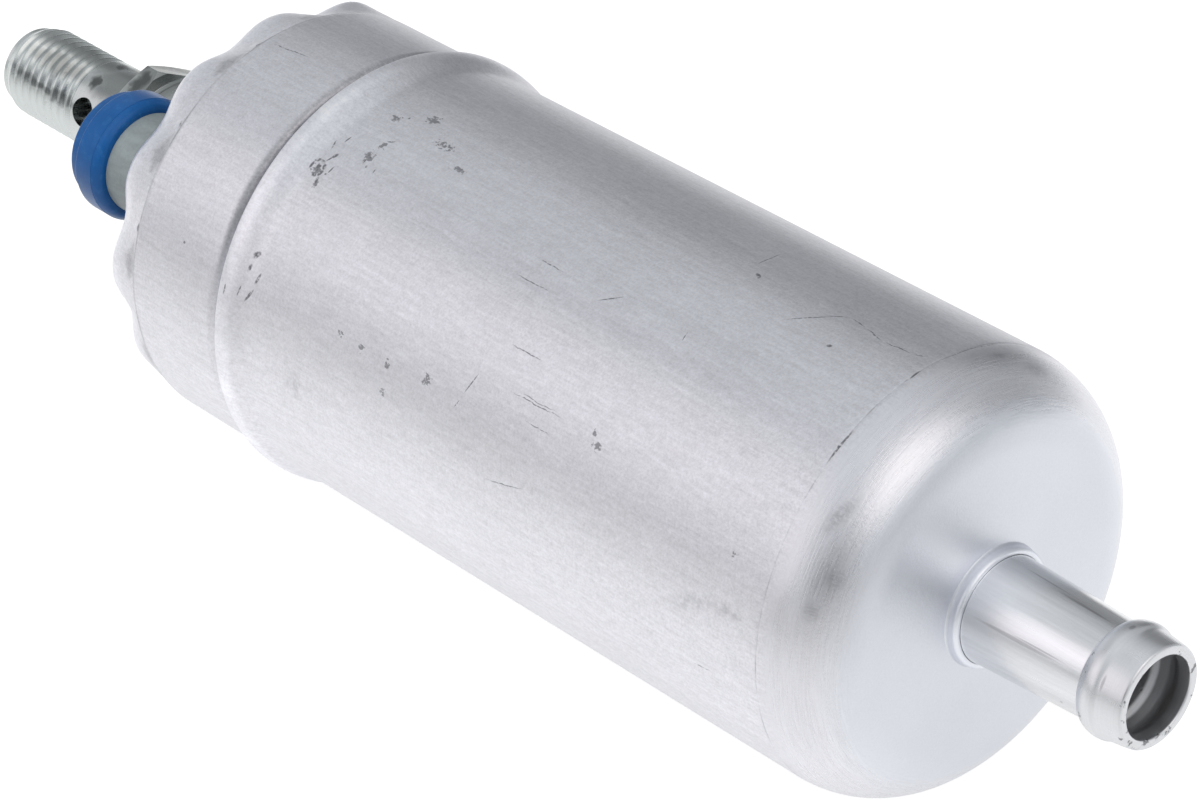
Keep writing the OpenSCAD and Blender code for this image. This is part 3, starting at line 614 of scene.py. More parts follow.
FINE_CUTS = [
    ((-6.4, 150.2), (-7.7, 157.2), 0.11), ((-7.9, 158.6), (-8.5, 161.2), 0.09),
    ((-8.2, 119.2), (-3.3, 119.3), 0.07), ((-9.3, 125.5), (-3.0, 125.2), 0.09),
    ((2.3, 121.8), (5.4, 117.0), 0.10), ((-4.5, 140.8), (1.4, 140.4), 0.09),
    ((-1.8, 150.6), (7.6, 150.0), 0.08), ((-0.6, 149.8), (6.4, 149.3), 0.06),
    ((1.7, 154.9), (6.4, 155.1), 0.06), ((13.0, 81.0), (13.3, 91.5), 0.08),
    ((40.33, 118.2), (40.3, 129.8), 0.22), ((40.33, 95.8), (40.3, 102.0), 0.15),
    ((40.5, 66.5), (40.45, 94.0), 0.06), ((22.4, 103.5), (27.0, 93.4), 0.10),
    ((-43.7, 125.1), (-42.9, 123.4), 0.28), ((-43.1, 123.6), (-41.9, 124.2), 0.30),
    ((-42.1, 124.0), (-41.6, 126.1), 0.32), ((-41.6, 125.8), (-41.9, 128.0), 0.34),
    ((-41.9, 127.8), (-42.9, 128.1), 0.32), ((-43.5, 127.4), (-43.6, 124.8), 0.22),
    ((-41.6, 127.4), (-41.4, 130.8), 0.30), ((-43.0, 125.6), (-42.4, 126.8), 0.16),
    ((-42.2, 123.5), (-41.7, 121.4), 0.15), ((-41.9, 122.1), (-41.3, 120.0), 0.28),
    ((-42.9, 120.4), (-43.2, 117.1), 0.13), ((-42.1, 117.1), (-41.9, 114.5), 0.13),
    ((-41.2, 126.6), (-40.8, 126.3), 0.14), ((-40.85, 126.5), (-40.6, 123.4), 0.13),
    ((-38.3, 117.3), (-36.7, 116.7), 0.18), ((-37.6, 119.6), (-37.6, 117.0), 0.13),
    ((-37.9, 115.9), (-37.5, 117.8), 0.22), ((-37.0, 119.9), (-36.6, 119.6), 0.22),
    ((-35.4, 120.6), (-35.45, 119.0), 0.12), ((-37.5, 111.3), (-36.3, 109.8), 0.13),
    ((-42.9, 126.9), (-42.2, 126.6), 0.36), ((-42.8, 125.2), (-42.2, 125.5), 0.34),
    ((-42.8, 124.5), (-42.5, 127.5), 0.36),
    ((25.7, 95.3), (28.0, 92.0), 0.08), ((28.0, 92.0), (30.6, 92.7), 0.10),
    ((30.6, 92.7), (33.6, 94.1), 0.10), ((33.6, 94.1), (37.7, 93.1), 0.11),
    ((37.7, 93.1), (39.0, 91.8), 0.08),
    ((-48.1, 119.6), (-47.9, 116.8), 0.20), ((-38.4, 102.4), (-38.2, 101.4), 0.16),
    ((-44.6, 153.6), (-43.6, 151.4), 0.42), ((-44.6, 157.6), (-44.3, 154.9), 0.26),
    ((-43.4, 160.4), (-42.7, 155.8), 0.24), ((-44.3, 165.4), (-43.2, 160.8), 0.22),
    ((-45.2, 164.6), (-44.9, 161.0), 0.12), ((-46.9, 165.6), (-46.9, 161.6), 0.12),
    ((-48.1, 186.0), (-48.2, 193.0), 0.10), ((-63.8, 101.4), (-56.6, 99.4), 0.09),
    ((30.4, 191.0), (33.4, 190.4), 0.08), ((-2.4, 174.1), (4.3, 170.9), 0.07),
    ((14.4, 93.2), (15.6, 95.0), 0.30), ((29.5, 103.4), (30.2, 102.6), 0.30),
    ((15.0, 117.4), (15.3, 120.4), 0.08), ((-56.4, 159.6), (-56.0, 159.0), 0.24),
]

# Scuffs on the can: place as x in mm and turn in degrees, half sizes in mm, slant

SCUFFS = [
    ((-42.6, 126.2), (1.3, 1.5), 0), ((-41.5, 129.8), (0.6, 0.9), 0),
    ((-37.6, 116.9), (1.4, 1.5), 0), ((-35.6, 98.6), (1.5, 1.3), 0),
    ((-39.6, 103.5), (1.2, 0.9), 0), ((-37.2, 112.8), (0.9, 0.8), 0),
    ((-28.1, 159.7), (0.9, 0.9), 0), ((-24.6, 160.3), (1.1, 0.8), 0),
    ((-19.9, 160.2), (0.8, 0.8), 0), ((-19.8, 167.6), (1.2, 0.8), 0),
    ((-13.4, 158.6), (1.3, 1.2), 0), ((11.8, 149.2), (0.8, 0.8), 0),
    ((12.6, 151.8), (1.1, 1.0), 40), ((35.1, 157.7), (0.7, 0.9), 0),
    ((-31.0, 104.0), (2.6, 1.0), 0), ((-26.5, 108.5), (1.8, 0.8), 0),
]

SMEARS = [
    ((30.6, 174.0), (5.5, 1.5), 24), ((35.6, 171.2), (3.6, 1.2), 10),
    ((-34.9, 179.8), (2.2, 2.2), 0),
]

STAINS = [
    ((46.1, 152.5), (1.3, 1.9), 0), ((45.2, 162.0), (1.1, 1.9), 0),
    ((44.3, 138.0), (1.1, 3.8), -14), ((42.4, 75.5), (0.9, 2.4), 0),
    ((44.4, 66.0), (1.2, 2.6), 0), ((50.6, 156.0), (0.35, 5.5), 0),
]

# Marks on the spigot: place as x in mm and turn in degrees, half sizes in mm, slant

SPIGOT_MARKS = [
    ((57.4, 158.3), (6.4, 0.26), 0), ((60.5, 155.4), (4.0, 0.13), 0),
    ((62.0, 89.0), (4.0, 0.22), 0), ((64.0, 203.9), (0.24, 0.20), 0),
    ((69.55, 152.0), (0.22, 1.1), 0), ((68.3, 90.5), (0.34, 0.5), 0),
    ((56.0, 84.0), (3.4, 0.16), 0),
]

# Darkening on the outlet stud: tarnish with shade painted on the hexagon in dark patches, then paler ones, dark
# reflections painted along the thread and over the hexagon and shoulder

TARNISH_AND_SHADE = [
    ((-101.9, 76.0), (1.7, 1.3), 0), ((-98.6, 60.0), (3.4, 1.7), 0),
    ((-101.8, 117.0), (0.9, 1.4), 20), ((-96.6, 96.0), (1.5, 1.7), 0),
    ((-93.6, 72.0), (1.6, 3.6), 0), ((-93.0, 108.0), (1.7, 1.6), 0),
]

DARK_REFLECTIONS = [
    ((-108.0, 90.0), (12.0, 2.3), 0), ((-109.5, 121.0), (7.0, 1.7), 0),
    ((-110.0, 158.0), (9.0, 0.75), 0), ((-99.0, 105.0), (4.4, 4.0), 0),
    ((-91.0, 110.0), (4.6, 6.0), 0),
]


def can_flaws(nodes, wall):
    """How much of a cut, a scuff, a smear and a stain each place on the can has."""
    wander = nodes.noise(wall.point, 800, 2) - 0.5
    flat = nodes.vector(wall.x + wander * 0.3, wall.arc + wander * 0.5, 1.0)
    broken = nodes.step(nodes.noise(wall.point, 2200, 2, 0.6), 0.34, 0.54, 0.15, 1.0)
    cuts = nodes.fall(wall.cuts(FINE_CUTS, flat), 0.45, 1.0) * broken
    blots = nodes.noise(nodes.stretched(wall.point, (0.8, 1, 1)), 1900, 3, 0.7)
    dense = nodes.fall(wall.patches(SCUFFS, flat), 0.15, 1.0)
    scuffs = nodes.step(blots + dense * 0.20, 0.62, 0.70) * nodes.step(dense, 0.02, 0.3)
    smears = nodes.fall(wall.patches(SMEARS, flat), 0.2, 1.0)
    smears = smears * nodes.step(nodes.noise(wall.point, 700, 3, 0.6), 0.34, 0.62)
    hairs = nodes.noise(nodes.vector(wall.x * 0.5, wall.reach * 0.5, wall.turn * 30),
                        3.0, 3, 0.65, 0.8)
    stains = nodes.fall(wall.patches(STAINS, flat), 0.0, 1.0)
    stains = stains * nodes.step(hairs, 0.25, 0.62)
    return cuts, scuffs, smears, stains


def can_folds(nodes, wall, sizes):
    """Distances from the can's fold and, round it, from the nearest crimp mark, in mm."""
    pitch = 2 * pi / sizes.dents
    fold_turn = sizes.dent_turn - sizes.dent_lean
    turned = wall.turn + (fold_turn - pi / 2)
    nearest = turned.maths("WRAP", turned, pitch / 2, -pitch / 2) * wall.radius
    from_fold = sizes.fold_x / MM - wall.x
    return from_fold, nearest


def can_rims(nodes, wall, sizes, tone, folds, grain_soft, cloud):
    """The tone with the light and dark of bulge, groove, collar, lip and neck: a lighter crest with worn spots on
    the bulge and a lighter neck; shade painted into the groove, along the fold's crease and in pockets by the
    crimp marks; highlights painted by the marks and towards the lip's edge.
    """
    from_fold, nearest = folds
    face = (sizes.front + sizes.dome_depth + sizes.dome_crown) / MM
    bulge_x = sizes.bulge_x / MM
    # A highlight painted beside each crimp mark, a little past the fold.
    nick_highlight = nodes.fall(abs(from_fold - 1.7) / 0.8 + abs(nearest) / 0.9, 0.2, 1.0)
    crest = nodes.fall(abs(wall.x - bulge_x - 0.4), 0.4, 1.7)
    worn = crest * nodes.step(nodes.noise(nodes.stretched(wall.point, (0.5, 1, 1)), 330, 2),
                              0.54, 0.66)
    step_x = sizes.step_x / MM
    # Shade painted into the groove under the bulge's edge, patchy with the grain and darkest on one side.
    groove_shade = nodes.fall(abs(wall.x - step_x + 1.2), 0.7, 1.6) * nodes.step(
        grain_soft, 0.2, 0.7, 0.24, 0.46)
    groove_shade = groove_shade * nodes.step(abs(wall.arc + 9.0), 12.0, 27.0, 1.0, 0.12)
    lip = nodes.step(from_fold, -0.1, 0.2)
    # Shade painted along the fold's crease, patchy with the clouds.
    crease = nodes.step(abs(from_fold), 0.05, 0.32, 0.20, 0.0) * nodes.step(
        cloud, 0.35, 0.6, 0.5, 1.0)
    # Shade painted in a pocket beside each crimp mark on the lip, next to the fold.
    pocket_shade = nodes.step(abs(from_fold - 1.0) / 2.0 + abs(nearest + 4.4) / 3.6, 0.3, 1.1,
                        0.28, 0.0) * lip
    edge_light = nodes.step(from_fold, 2.6, 4.6) * 0.12
    neck = nodes.step(wall.x, face + 0.2, face + 0.6) * 0.14
    return (tone + nick_highlight * 0.08 + crest * 0.14 + worn * 0.10 - groove_shade - crease - pocket_shade
            + edge_light + neck)


def can_material(finish):
    """Satin drawn aluminium: grain along the wall, rubbed dome, scuffs and cuts, with light and shade painted at
    the groove and the crimped lip and a reflection painted on the end face.
    """
    material, nodes = new_material("drawn_aluminium")
    sizes = bpy.context.scene.pump_can
    wall = Unrolled(nodes, sizes.wall_radius)
    front = sizes.front / MM
    face = front + (sizes.dome_depth + sizes.dome_crown) / MM
    drawn = nodes.noise(nodes.stretched(wall.point, (0.1, 1, 1)), 2400, 3, 0.65)
    drawn_wide = nodes.noise(nodes.stretched(wall.point, (0.05, 1, 1)), 300, 2)
    grain = nodes.noise(wall.point, 3300, 2, 0.75)
    grain_soft = nodes.noise(wall.point, 1200, 2, 0.6)
    cloud = nodes.noise(wall.point, 50, 3, 0.55)
    dome = nodes.step(wall.x, front + 0.8, front + 3.0)
    corner = dome * nodes.fall(wall.x, face - 1.6, face - 0.4)
    rings = nodes.vector(wall.x, wall.reach, wall.turn * 1.6)
    rubbed = nodes.noise(rings, 4.2, 4, 0.7, 0.5)
    rubbed_wide = nodes.noise(rings, 0.9, 3, 0.6)

    cuts, scuffs, smears, stains = can_flaws(nodes, wall)
    seam_x = front + sizes.seam_at / MM
    seam_parts = nodes.noise(nodes.vector(wall.turn, 0.0, 0.0), 6.0, 3, 0.6)
    seam = nodes.fall(abs(wall.x - seam_x), 0.02, 0.12) * nodes.step(
        seam_parts, 0.42, 0.66, 0.05, 0.34)

    folds = can_folds(nodes, wall, sizes)
    from_fold, nearest = folds
    # A small dent at each crimp mark by the fold; its dark colour is painted shade.
    nick_and_shade = nodes.fall(abs(from_fold - 0.7) / 0.5 + abs(nearest) / 0.9, 0.35, 1.0)
    nick_and_shade = nick_and_shade * nodes.step(grain_soft, 0.38, 0.56)
    dark = nodes.most(cuts * 0.78, scuffs * 0.62, seam, nick_and_shade * 0.7, smears * 0.22,
                      stains * 0.36)
    tone = (0.97 + 0.30 * (drawn - 0.5) + 0.10 * (drawn_wide - 0.5)
            + 0.42 * (grain - 0.5) + 0.12 * (cloud - 0.5) + 0.20 * (grain_soft - 0.5))
    tone_dome = (0.97 + 0.30 * (rubbed - 0.5) * corner + 0.12 * (rubbed_wide - 0.5) * corner
                 + 0.10 * (grain - 0.5) + 0.13 * (cloud - 0.5))
    tone = can_rims(nodes, wall, sizes, tone + (tone_dome - tone) * dome, folds,
                    grain_soft, cloud)
    # The end face is tinted bluer, a reflection of the floor painted into its colour.
    face_reflection_tint = nodes.step(wall.x, face - 3.0, face - 0.8)
    base = nodes.mix(face_reflection_tint, finish.aluminium, finish.face)
    base = nodes.shade(base, tone)
    base = nodes.mix(dark, base, finish.smudge_and_shade)
    rough = 0.38 + 0.08 * (drawn_wide - 0.5) + 0.08 * (cloud - 0.5)
    rough_dome = 0.38 - 0.10 * corner + 0.14 * (rubbed - 0.5) * corner
    rough = rough + (rough_dome - rough) * dome + dark * 0.25
    height = (0.010 * (drawn - 0.5) * (1 - dome) + 0.020 * (grain - 0.5)
              + 0.010 * (grain_soft - 0.5) + 0.030 * (rubbed - 0.5) * corner
              - 0.03 * nick_and_shade)
    nodes.surface(base, rough, height, metallic=1.0)
    return material


def spigot_material(finish):
    """Bright aluminium with streaks along the tube and nicks on bead and rim, with a highlight painted along the
    tube, shade painted in the bore and a highlight ring painted deep inside it.
    """
    material, nodes = new_material("bright_aluminium")
    sizes = bpy.context.scene.pump_spigot
    tube = Unrolled(nodes, sizes.root_radius)
    mouth = SPIGOT_HIGH.x / MM
    streak = nodes.noise(nodes.stretched(tube.point, (0.05, 1, 1)), 1700, 3, 0.65)
    streak_wide = nodes.noise(nodes.stretched(tube.point, (0.04, 1, 1)), 500, 2, 0.6)
    grain = nodes.noise(tube.point, 4000, 2, 0.6)
    turned = nodes.noise(nodes.vector(tube.x, tube.reach, tube.turn * 0.2), 6.0, 3, 0.6)
    foot = mouth - sizes.bead_back / MM
    bead = nodes.step(tube.x, foot - 0.3, foot + 0.3)
    worn = nodes.noise(tube.point, 900, 3, 0.6)
    rim = nodes.step(tube.x, mouth - 0.7, mouth - 0.25)
    crest = nodes.fall(abs(tube.x - (mouth - sizes.bead_crest / MM - 1.2)), 0.1, 0.9)
    nicks = nodes.step(worn + 0.07 * rim + 0.05 * crest, 0.66, 0.74)
    nicks = nicks * nodes.most(rim, crest)
    wander = 0.5 * (streak_wide - 0.5)
    flat = nodes.vector(tube.x, tube.arc + wander, 1.0)
    marks = nodes.fall(tube.patches(SPIGOT_MARKS, flat), 0.4, 1.1)
    # A highlight painted in a band along the tube, stopping at the bead.
    tube_highlight = nodes.fall(abs(tube.arc + 5.2), 0.6, 4.4) * (1 - bead)
    # Shade painted inside the bore, which is also rougher there.
    inside = nodes.fall(tube.reach, sizes.bore_radius / MM + 0.70,
                        sizes.bore_radius / MM + 0.78)
    inside = inside * nodes.fall(tube.x, mouth - 0.3, mouth - 0.15)
    # A bright ring painted deep in the bore, less metallic: a painted highlight.
    ring = inside * nodes.fall(abs(tube.x - (mouth - 4.8)), 0.15, 0.6)
    tone = (0.97 + 0.26 * (streak - 0.5) + 0.20 * (streak_wide - 0.5)
            + 0.06 * (grain - 0.5) + 0.18 * tube_highlight)
    tone_bead = 0.95 + 0.12 * (turned - 0.5) + 0.08 * (grain - 0.5)
    tone = tone + (tone_bead - tone) * bead
    tone = tone * (1 - 0.36 * inside + 0.6 * ring)
    dark = nodes.most(nicks * 0.75, marks * 0.36)
    base = nodes.mix(dark, nodes.shade(finish.spigot, tone), finish.smudge_and_shade)
    rough = (0.24 + 0.18 * (streak_wide - 0.5) + 0.10 * (streak - 0.5) + 0.06 * bead
             + 0.20 * inside)
    height = (0.010 * (streak - 0.5) * (1 - bead) + 0.006 * (turned - 0.5) * bead
              + 0.004 * (grain - 0.5) - 0.05 * nicks)
    nodes.surface(base, rough, height, metallic=1 - 0.7 * ring)
    return material


def zinc_material(finish):
    """Bright zinc plating with a green tint, turned rings and small dull spots, with tarnish, painted shade on the
    hexagon and painted dark reflections along the stud.
    """
    material, nodes = new_material("zinc_plating")
    stud = Unrolled(nodes, bpy.context.scene.pump_outlet.thread_radius)
    cloud = nodes.noise(stud.point, 260, 3, 0.6)
    grain = nodes.noise(stud.point, 3500, 2, 0.6)
    rings = nodes.noise(nodes.vector(stud.x, stud.reach, stud.turn * 0.15), 5.0, 3, 0.6)
    spots = nodes.step(nodes.noise(stud.point, 1100, 2, 0.6), 0.62, 0.74)
    wander = 4.0 * (cloud - 0.5)
    flat = nodes.vector(stud.x + wander, stud.arc + wander, 1.0)
    # Tarnish and shade painted on the hexagon, then paler bands of painted dark reflection.
    tarnish_and_shade = nodes.fall(stud.patches(TARNISH_AND_SHADE, flat), 0.3, 1.35)
    dark_reflections = nodes.fall(stud.patches(DARK_REFLECTIONS, flat), 0.35, 1.25)
    tone = 0.98 + 0.12 * (cloud - 0.5) + 0.08 * (rings - 0.5) + 0.05 * (grain - 0.5)
    tone = tone * (1 - nodes.most(tarnish_and_shade * 0.78, dark_reflections * 0.50))
    pale = nodes.shade(finish.zinc, tone)
    base = nodes.mix(nodes.step(cloud, 0.45, 0.75) * 0.35, pale,
                     nodes.shade((0.62, 0.62, 0.64), tone))
    rough = 0.24 + 0.10 * (cloud - 0.5) + 0.06 * (grain - 0.5) + 0.10 * spots
    height = 0.005 * (rings - 0.5) + 0.004 * (grain - 0.5) - 0.004 * spots
    nodes.surface(base, rough, height, metallic=1.0)
    return material


def collar_material(finish):
    """Satin blue plastic with fine rubbed lines and a paler worn rim."""
    material, nodes = new_material("blue_plastic")
    sizes = bpy.context.scene.pump_terminal
    ring = Unrolled(nodes, sizes.collar_radius, TURRET_PLACE.yz)
    grain = nodes.noise(ring.point, 2600, 2, 0.6)
    cloud = nodes.noise(ring.point, 240, 3, 0.6)
    lines = nodes.noise(nodes.vector(ring.x, ring.reach, ring.turn * 0.4), 4.0, 3, 0.6)
    worn = nodes.step(nodes.noise(ring.point, 620, 3, 0.6), 0.5, 0.72)
    tone = 1.0 + 0.40 * (cloud - 0.5) + 0.30 * (lines - 0.5)
    base = nodes.mix(worn * 0.12, nodes.shade(finish.collar, tone),
                     (0.10, 0.30, 0.56))
    rough = 0.32 + 0.14 * (cloud - 0.5) + 0.12 * (lines - 0.5)
    height = 0.008 * (grain - 0.5) + 0.008 * (lines - 0.5)
    nodes.surface(base, rough, height, ior=1.36)
    return material


def turret_material(finish):
    """Matt grey moulded plastic with fibre flow and fine grain."""
    material, nodes = new_material("grey_plastic")
    body = Unrolled(nodes, bpy.context.scene.pump_terminal.turret_radius,
                    TURRET_PLACE.yz)
    flow = nodes.noise(nodes.stretched(body.point, (0.3, 1, 1)), 420, 4, 0.62, 0.6)
    grain = nodes.noise(body.point, 2400, 2, 0.7)
    tone = 0.96 + 0.75 * (flow - 0.5) + 0.30 * (grain - 0.5)
    rough = 0.52 + 0.16 * (flow - 0.5)
    height = 0.014 * (grain - 0.5) + 0.01 * (flow - 0.5)
    nodes.surface(nodes.shade(finish.turret, tone), rough, height)
    return material


def metal_material(name, tint, rough, grain_scale=1500.0, spread=0.16, stretch=(1, 1, 1)):
    """A worked metal with grain, clouds of tone and a dull patchy sheen."""
    material, nodes = new_material(name)
    point = nodes.position()
    grain = nodes.noise(nodes.stretched(point, stretch), grain_scale, 3, 0.6)
    cloud = nodes.noise(point, 120, 3, 0.6)
    tone = 1.0 + spread * (grain - 0.5) + spread * (cloud - 0.5)
    height = 0.012 * (grain - 0.5)
    rough = rough + 0.14 * (cloud - 0.5) + 0.08 * (grain - 0.5)
    nodes.surface(nodes.shade(tint, tone), rough, height, metallic=1.0)
    return material


def dull_material(name, tint, rough, grain_scale=1500.0, spread=0.2):
    """A moulded, pressed or fired material with specks and clouds of tone."""
    material, nodes = new_material(name)
    point = nodes.position()
    grain = nodes.noise(point, grain_scale, 3, 0.6)
    cloud = nodes.noise(point, 140, 3, 0.6)
    specks = nodes.step(nodes.noise(point, grain_scale * 1.6, 1), 0.6, 0.72)
    tone = 1.0 + spread * (grain - 0.5) + spread * (cloud - 0.5) + 0.3 * specks
    height = 0.012 * (grain - 0.5) - 0.008 * specks
    nodes.surface(nodes.shade(tint, tone), rough + 0.12 * (cloud - 0.5), height)
    return material


def inner_materials():
    """Materials of the pieces inside the can, by material slot."""
    return {
        "cover_aluminium": metal_material("cast_cover", (0.58, 0.59, 0.60), 0.46, 1300),
        "pump_steel": metal_material("sintered_steel", (0.34, 0.34, 0.36), 0.42, 2200),
        "hard_steel": metal_material("polished_steel", (0.62, 0.63, 0.65), 0.16, 1800,
                                     0.06),
        "spring_steel": metal_material("spring_wire", (0.48, 0.49, 0.50), 0.28, 2600,
                                       0.10),
        "bronze": metal_material("sintered_bronze", (0.52, 0.33, 0.16), 0.44, 2600, 0.26),
        "valve_brass": metal_material("turned_brass", (0.66, 0.48, 0.20), 0.28, 1900,
                                      0.10, (4, 0.4, 0.4)),
        "pin_metal": metal_material("tinned_brass", (0.70, 0.62, 0.42), 0.22, 1900, 0.10),
        "lamination_steel": metal_material("laminated_steel", (0.16, 0.16, 0.17), 0.5,
                                           2000, 0.3, (3, 0.3, 0.3)),
        "yoke_steel": metal_material("rolled_steel", (0.30, 0.30, 0.32), 0.40, 900, 0.16,
                                     (0.2, 1, 1)),
        "copper": metal_material("copper", (0.60, 0.28, 0.16), 0.34, 1500, 0.18,
                                 (0.3, 2, 2)),
        "ferrite": dull_material("ferrite", (0.035, 0.035, 0.038), 0.55, 1600),
        "moulding": dull_material("brown_moulding", (0.16, 0.08, 0.035), 0.5, 1200),
        "carbon": dull_material("pressed_carbon", (0.03, 0.03, 0.031), 0.6, 2400, 0.4),
        "seal_rubber": dull_material("seal_rubber", (0.014, 0.014, 0.014), 0.62, 1900),
    }


# Pieces

def can_outline(sizes):
    """Closed outline of the can, outside from the lip to the neck, then back inside."""
    wall = sizes.wall_radius
    sheet = sizes.sheet
    bulge = wall + sizes.bulge_height
    groove = wall - sizes.groove_depth
    collar = sizes.collar_radius
    step_x, collar_x, fold_x, bulge_x = (sizes.step_x, sizes.collar_x, sizes.fold_x,
                                         sizes.bulge_x)
    edge = sizes.bulge_edge
    roll = sizes.collar_roll
    lip_x = CAN_LOW.x
    dome_r = wall - sizes.dome_drop
    dome_x = sizes.front + sizes.dome_depth
    crown_x = dome_x + sizes.dome_crown
    neck_x = sizes.neck_x
    crest = sizes.neck_crest
    crest_r = sizes.neck_hole + 0.2 * MM
    thick = 0.5 * MM
    foot = sizes.neck_foot
    inner_x = crown_x - sheet
    fine = 0.5 * MM
    lip = run((lip_x + sizes.lip_round, collar - sizes.lip_round),
              (sizes.lip_round, sizes.lip_round), 180, 90, 8)
    lip_edge = [(lip_x, sizes.lip_inner + (lip[0][1] - sizes.lip_inner) * part / 4)
                for part in range(4)]
    reach = fold_x - lip_x
    zone = [(fold_x - reach * down, collar) for down in (
        0.63, 0.57, 0.51, 0.45, 0.39, 0.33, 0.27, 0.21, 0.16, 0.12, 0.08, 0.05, 0.025, 0)]
    outside = (
        lip_edge + lip + zone + [(fold_x + 0.5 * MM, collar), (fold_x + 4 * MM, collar)]
        + run((collar_x - 0.3 * MM, collar - roll), (roll, roll), 90, 22, 12)
        + run((collar_x + 1.35 * MM, groove + 0.3 * MM), (0.4 * MM, 0.3 * MM), 215, 270, 4)
        + run((step_x - edge, groove + edge), (edge, edge), 270, 350, 5)
        + run((step_x + edge, bulge - edge), (edge, edge), 175, 90, 8)
        + blend((bulge_x, bulge), (sizes.back, wall), 20)
        + [(sizes.back * (1 - part / 6) + sizes.front * part / 6, wall)
           for part in range(1, 6)]
        + dome_run(sizes, dome_r)
        + rise((dome_x, dome_r), (crown_x, foot), 12)[1:]
        + run((neck_x - crest, foot), (neck_x - crest - crown_x,
                                       foot - crest_r - thick), 180, 270, 10)[1:]
        + run((neck_x - crest, crest_r), (crest, thick), 90, -20, 12))
    inside = (
        [(neck_x - 2 * crest, sizes.neck_hole), (inner_x, sizes.neck_hole)]
        + run((sizes.front, dome_r), (inner_x - sizes.front, sizes.dome_drop - sheet),
              0, 90, 14)
        + blend((sizes.back, wall - sheet), (bulge_x, bulge - sheet), 6)
        + [(step_x + sheet / 2, bulge - sheet), (step_x, groove - sheet),
           (collar_x + fine, groove - sheet), (collar_x, collar - sheet),
           (fold_x - 0.6 * MM, collar - sheet), (COVER_FACE, sizes.lip_inner + 0.5 * MM)])
    return outside + inside


def dome_run(sizes, dome_r):
    """The dome's rounded corner with the shallow seam line across it."""
    width = 0.12 * MM
    depth = 0.03 * MM

    def radius(x):
        part = (x - sizes.front) / sizes.dome_depth
        return dome_r + sizes.dome_drop * sqrt(max(1 - part * part, 0))

    seam_x = sizes.front + sizes.seam_at
    corner = run((sizes.front, dome_r), (sizes.dome_depth, sizes.dome_drop), 90, 0, 40)
    before = [point for point in corner if point[0] < seam_x - 2 * width]
    after = [point for point in corner if point[0] > seam_x + 2 * width]
    seam = [(seam_x - width, radius(seam_x - width)), (seam_x, radius(seam_x) - depth),
            (seam_x + width, radius(seam_x + width))]
    return before + seam + after


def press_crimp(mesh, sizes):
    """Draws the lip in and presses the crimp marks into it."""
    collar = sizes.collar_radius
    fold_x = sizes.fold_x
    reach = fold_x - CAN_LOW.x
    height = collar - sizes.lip_inner
    for vert in mesh.verts:
        x, y, z = vert.co
        r = hypot(y, z)
        at_lip = x < CAN_LOW.x + 0.1 * MM
        on_corner = (x < CAN_LOW.x + sizes.lip_round + 0.1 * MM
                     and r > collar - sizes.lip_round - 0.05 * MM)
        if x > fold_x or not (at_lip or on_corner or r > collar - 0.5 * MM):
            continue
        down = (fold_x - x) / reach
        turn = atan2(z, y) - sizes.dent_turn + sizes.dent_lean * (1 - down)
        mark = ((1 + cos(sizes.dents * turn)) / 2) ** 1.2
        pressed = 0.16 * min(down / 0.05, 1) + 0.84 * down
        off = abs((atan2(z, y) - sizes.proud_turn + pi) % (2 * pi) - pi)
        proud = 1 - 1.2 * (1 - smooth_step(off / radians(22)))
        depth = sizes.lip_draft * down * proud + sizes.dent_depth * mark * pressed
        new_r = sizes.lip_inner + (r - sizes.lip_inner) * (1 - depth / height)
        vert.co.y = y * new_r / r
        vert.co.z = z * new_r / r


def make_can(scene):
    """The drawn can, turned from its outline and crimped at the lip."""
    sizes = scene.pump_can
    mesh = revolve(can_outline(sizes), 288)
    press_crimp(mesh, sizes)
    piece("can_shell", mesh, can_material(scene.pump_finish), ["can"],
          crease=38)


def make_spigot(scene):
    """The inlet spigot with its flange, hose bead and stepped bore."""
    sizes = scene.pump_spigot
    mouth = SPIGOT_HIGH.x
    back = SPIGOT_LOW.x
    flange_x = back + 1.2 * MM
    flange_radius = 8.8 * MM
    relief = sizes.bore_radius + 0.62 * MM
    bead_front = [(0.35, 0.03), (0.65, 0.14), (0.85, 0.28), (1.10, 0.34), (1.50, 0.37)]
    foot = mouth - sizes.bead_back
    crest = mouth - sizes.bead_crest
    seat = sizes.root_radius + 0.08 * MM
    neck_x = scene.pump_can.neck_x
    outside = (
        [(back, sizes.bore_radius), (back, flange_radius), (flange_x, flange_radius),
         (flange_x, seat), (neck_x + 0.1 * MM, seat),
         (neck_x + 0.5 * MM, sizes.root_radius)]
        + run((foot - 0.2 * MM, sizes.tip_radius + 0.3 * MM), (0.5 * MM, 0.3 * MM),
              270, 325, 4)
        + run((crest, sizes.bead_radius - sizes.bead_rise),
              (1.9 * MM, sizes.bead_rise), 168, 90, 14)
        + [(crest + along * MM, sizes.bead_radius - drop * MM)
           for along, drop in bead_front]
        + [(mouth - 0.9 * MM, sizes.rim_radius + 0.13 * MM)]
        + run((mouth - 0.35 * MM, sizes.rim_radius - 0.35 * MM),
              (0.35 * MM, 0.38 * MM), 80, 0, 6))
    inside = (
        run((mouth - 0.2 * MM, sizes.bore_radius + 0.2 * MM), (0.2 * MM, 0.2 * MM),
            0, -90, 4)
        + blend((mouth - 1.5 * MM, sizes.bore_radius),
                (mouth - 2.7 * MM, relief), 8)
        + [(mouth - 3.3 * MM, relief),
           (mouth - 3.5 * MM, sizes.bore_radius + 0.56 * MM),
           (mouth - 5.2 * MM, sizes.bore_radius + 0.06 * MM),
           (mouth - 5.4 * MM, sizes.bore_radius)])
    mesh = revolve(outside + inside, 160)
    piece("inlet_spigot_tube", mesh, spigot_material(scene.pump_finish),
          ["inlet_spigot"])


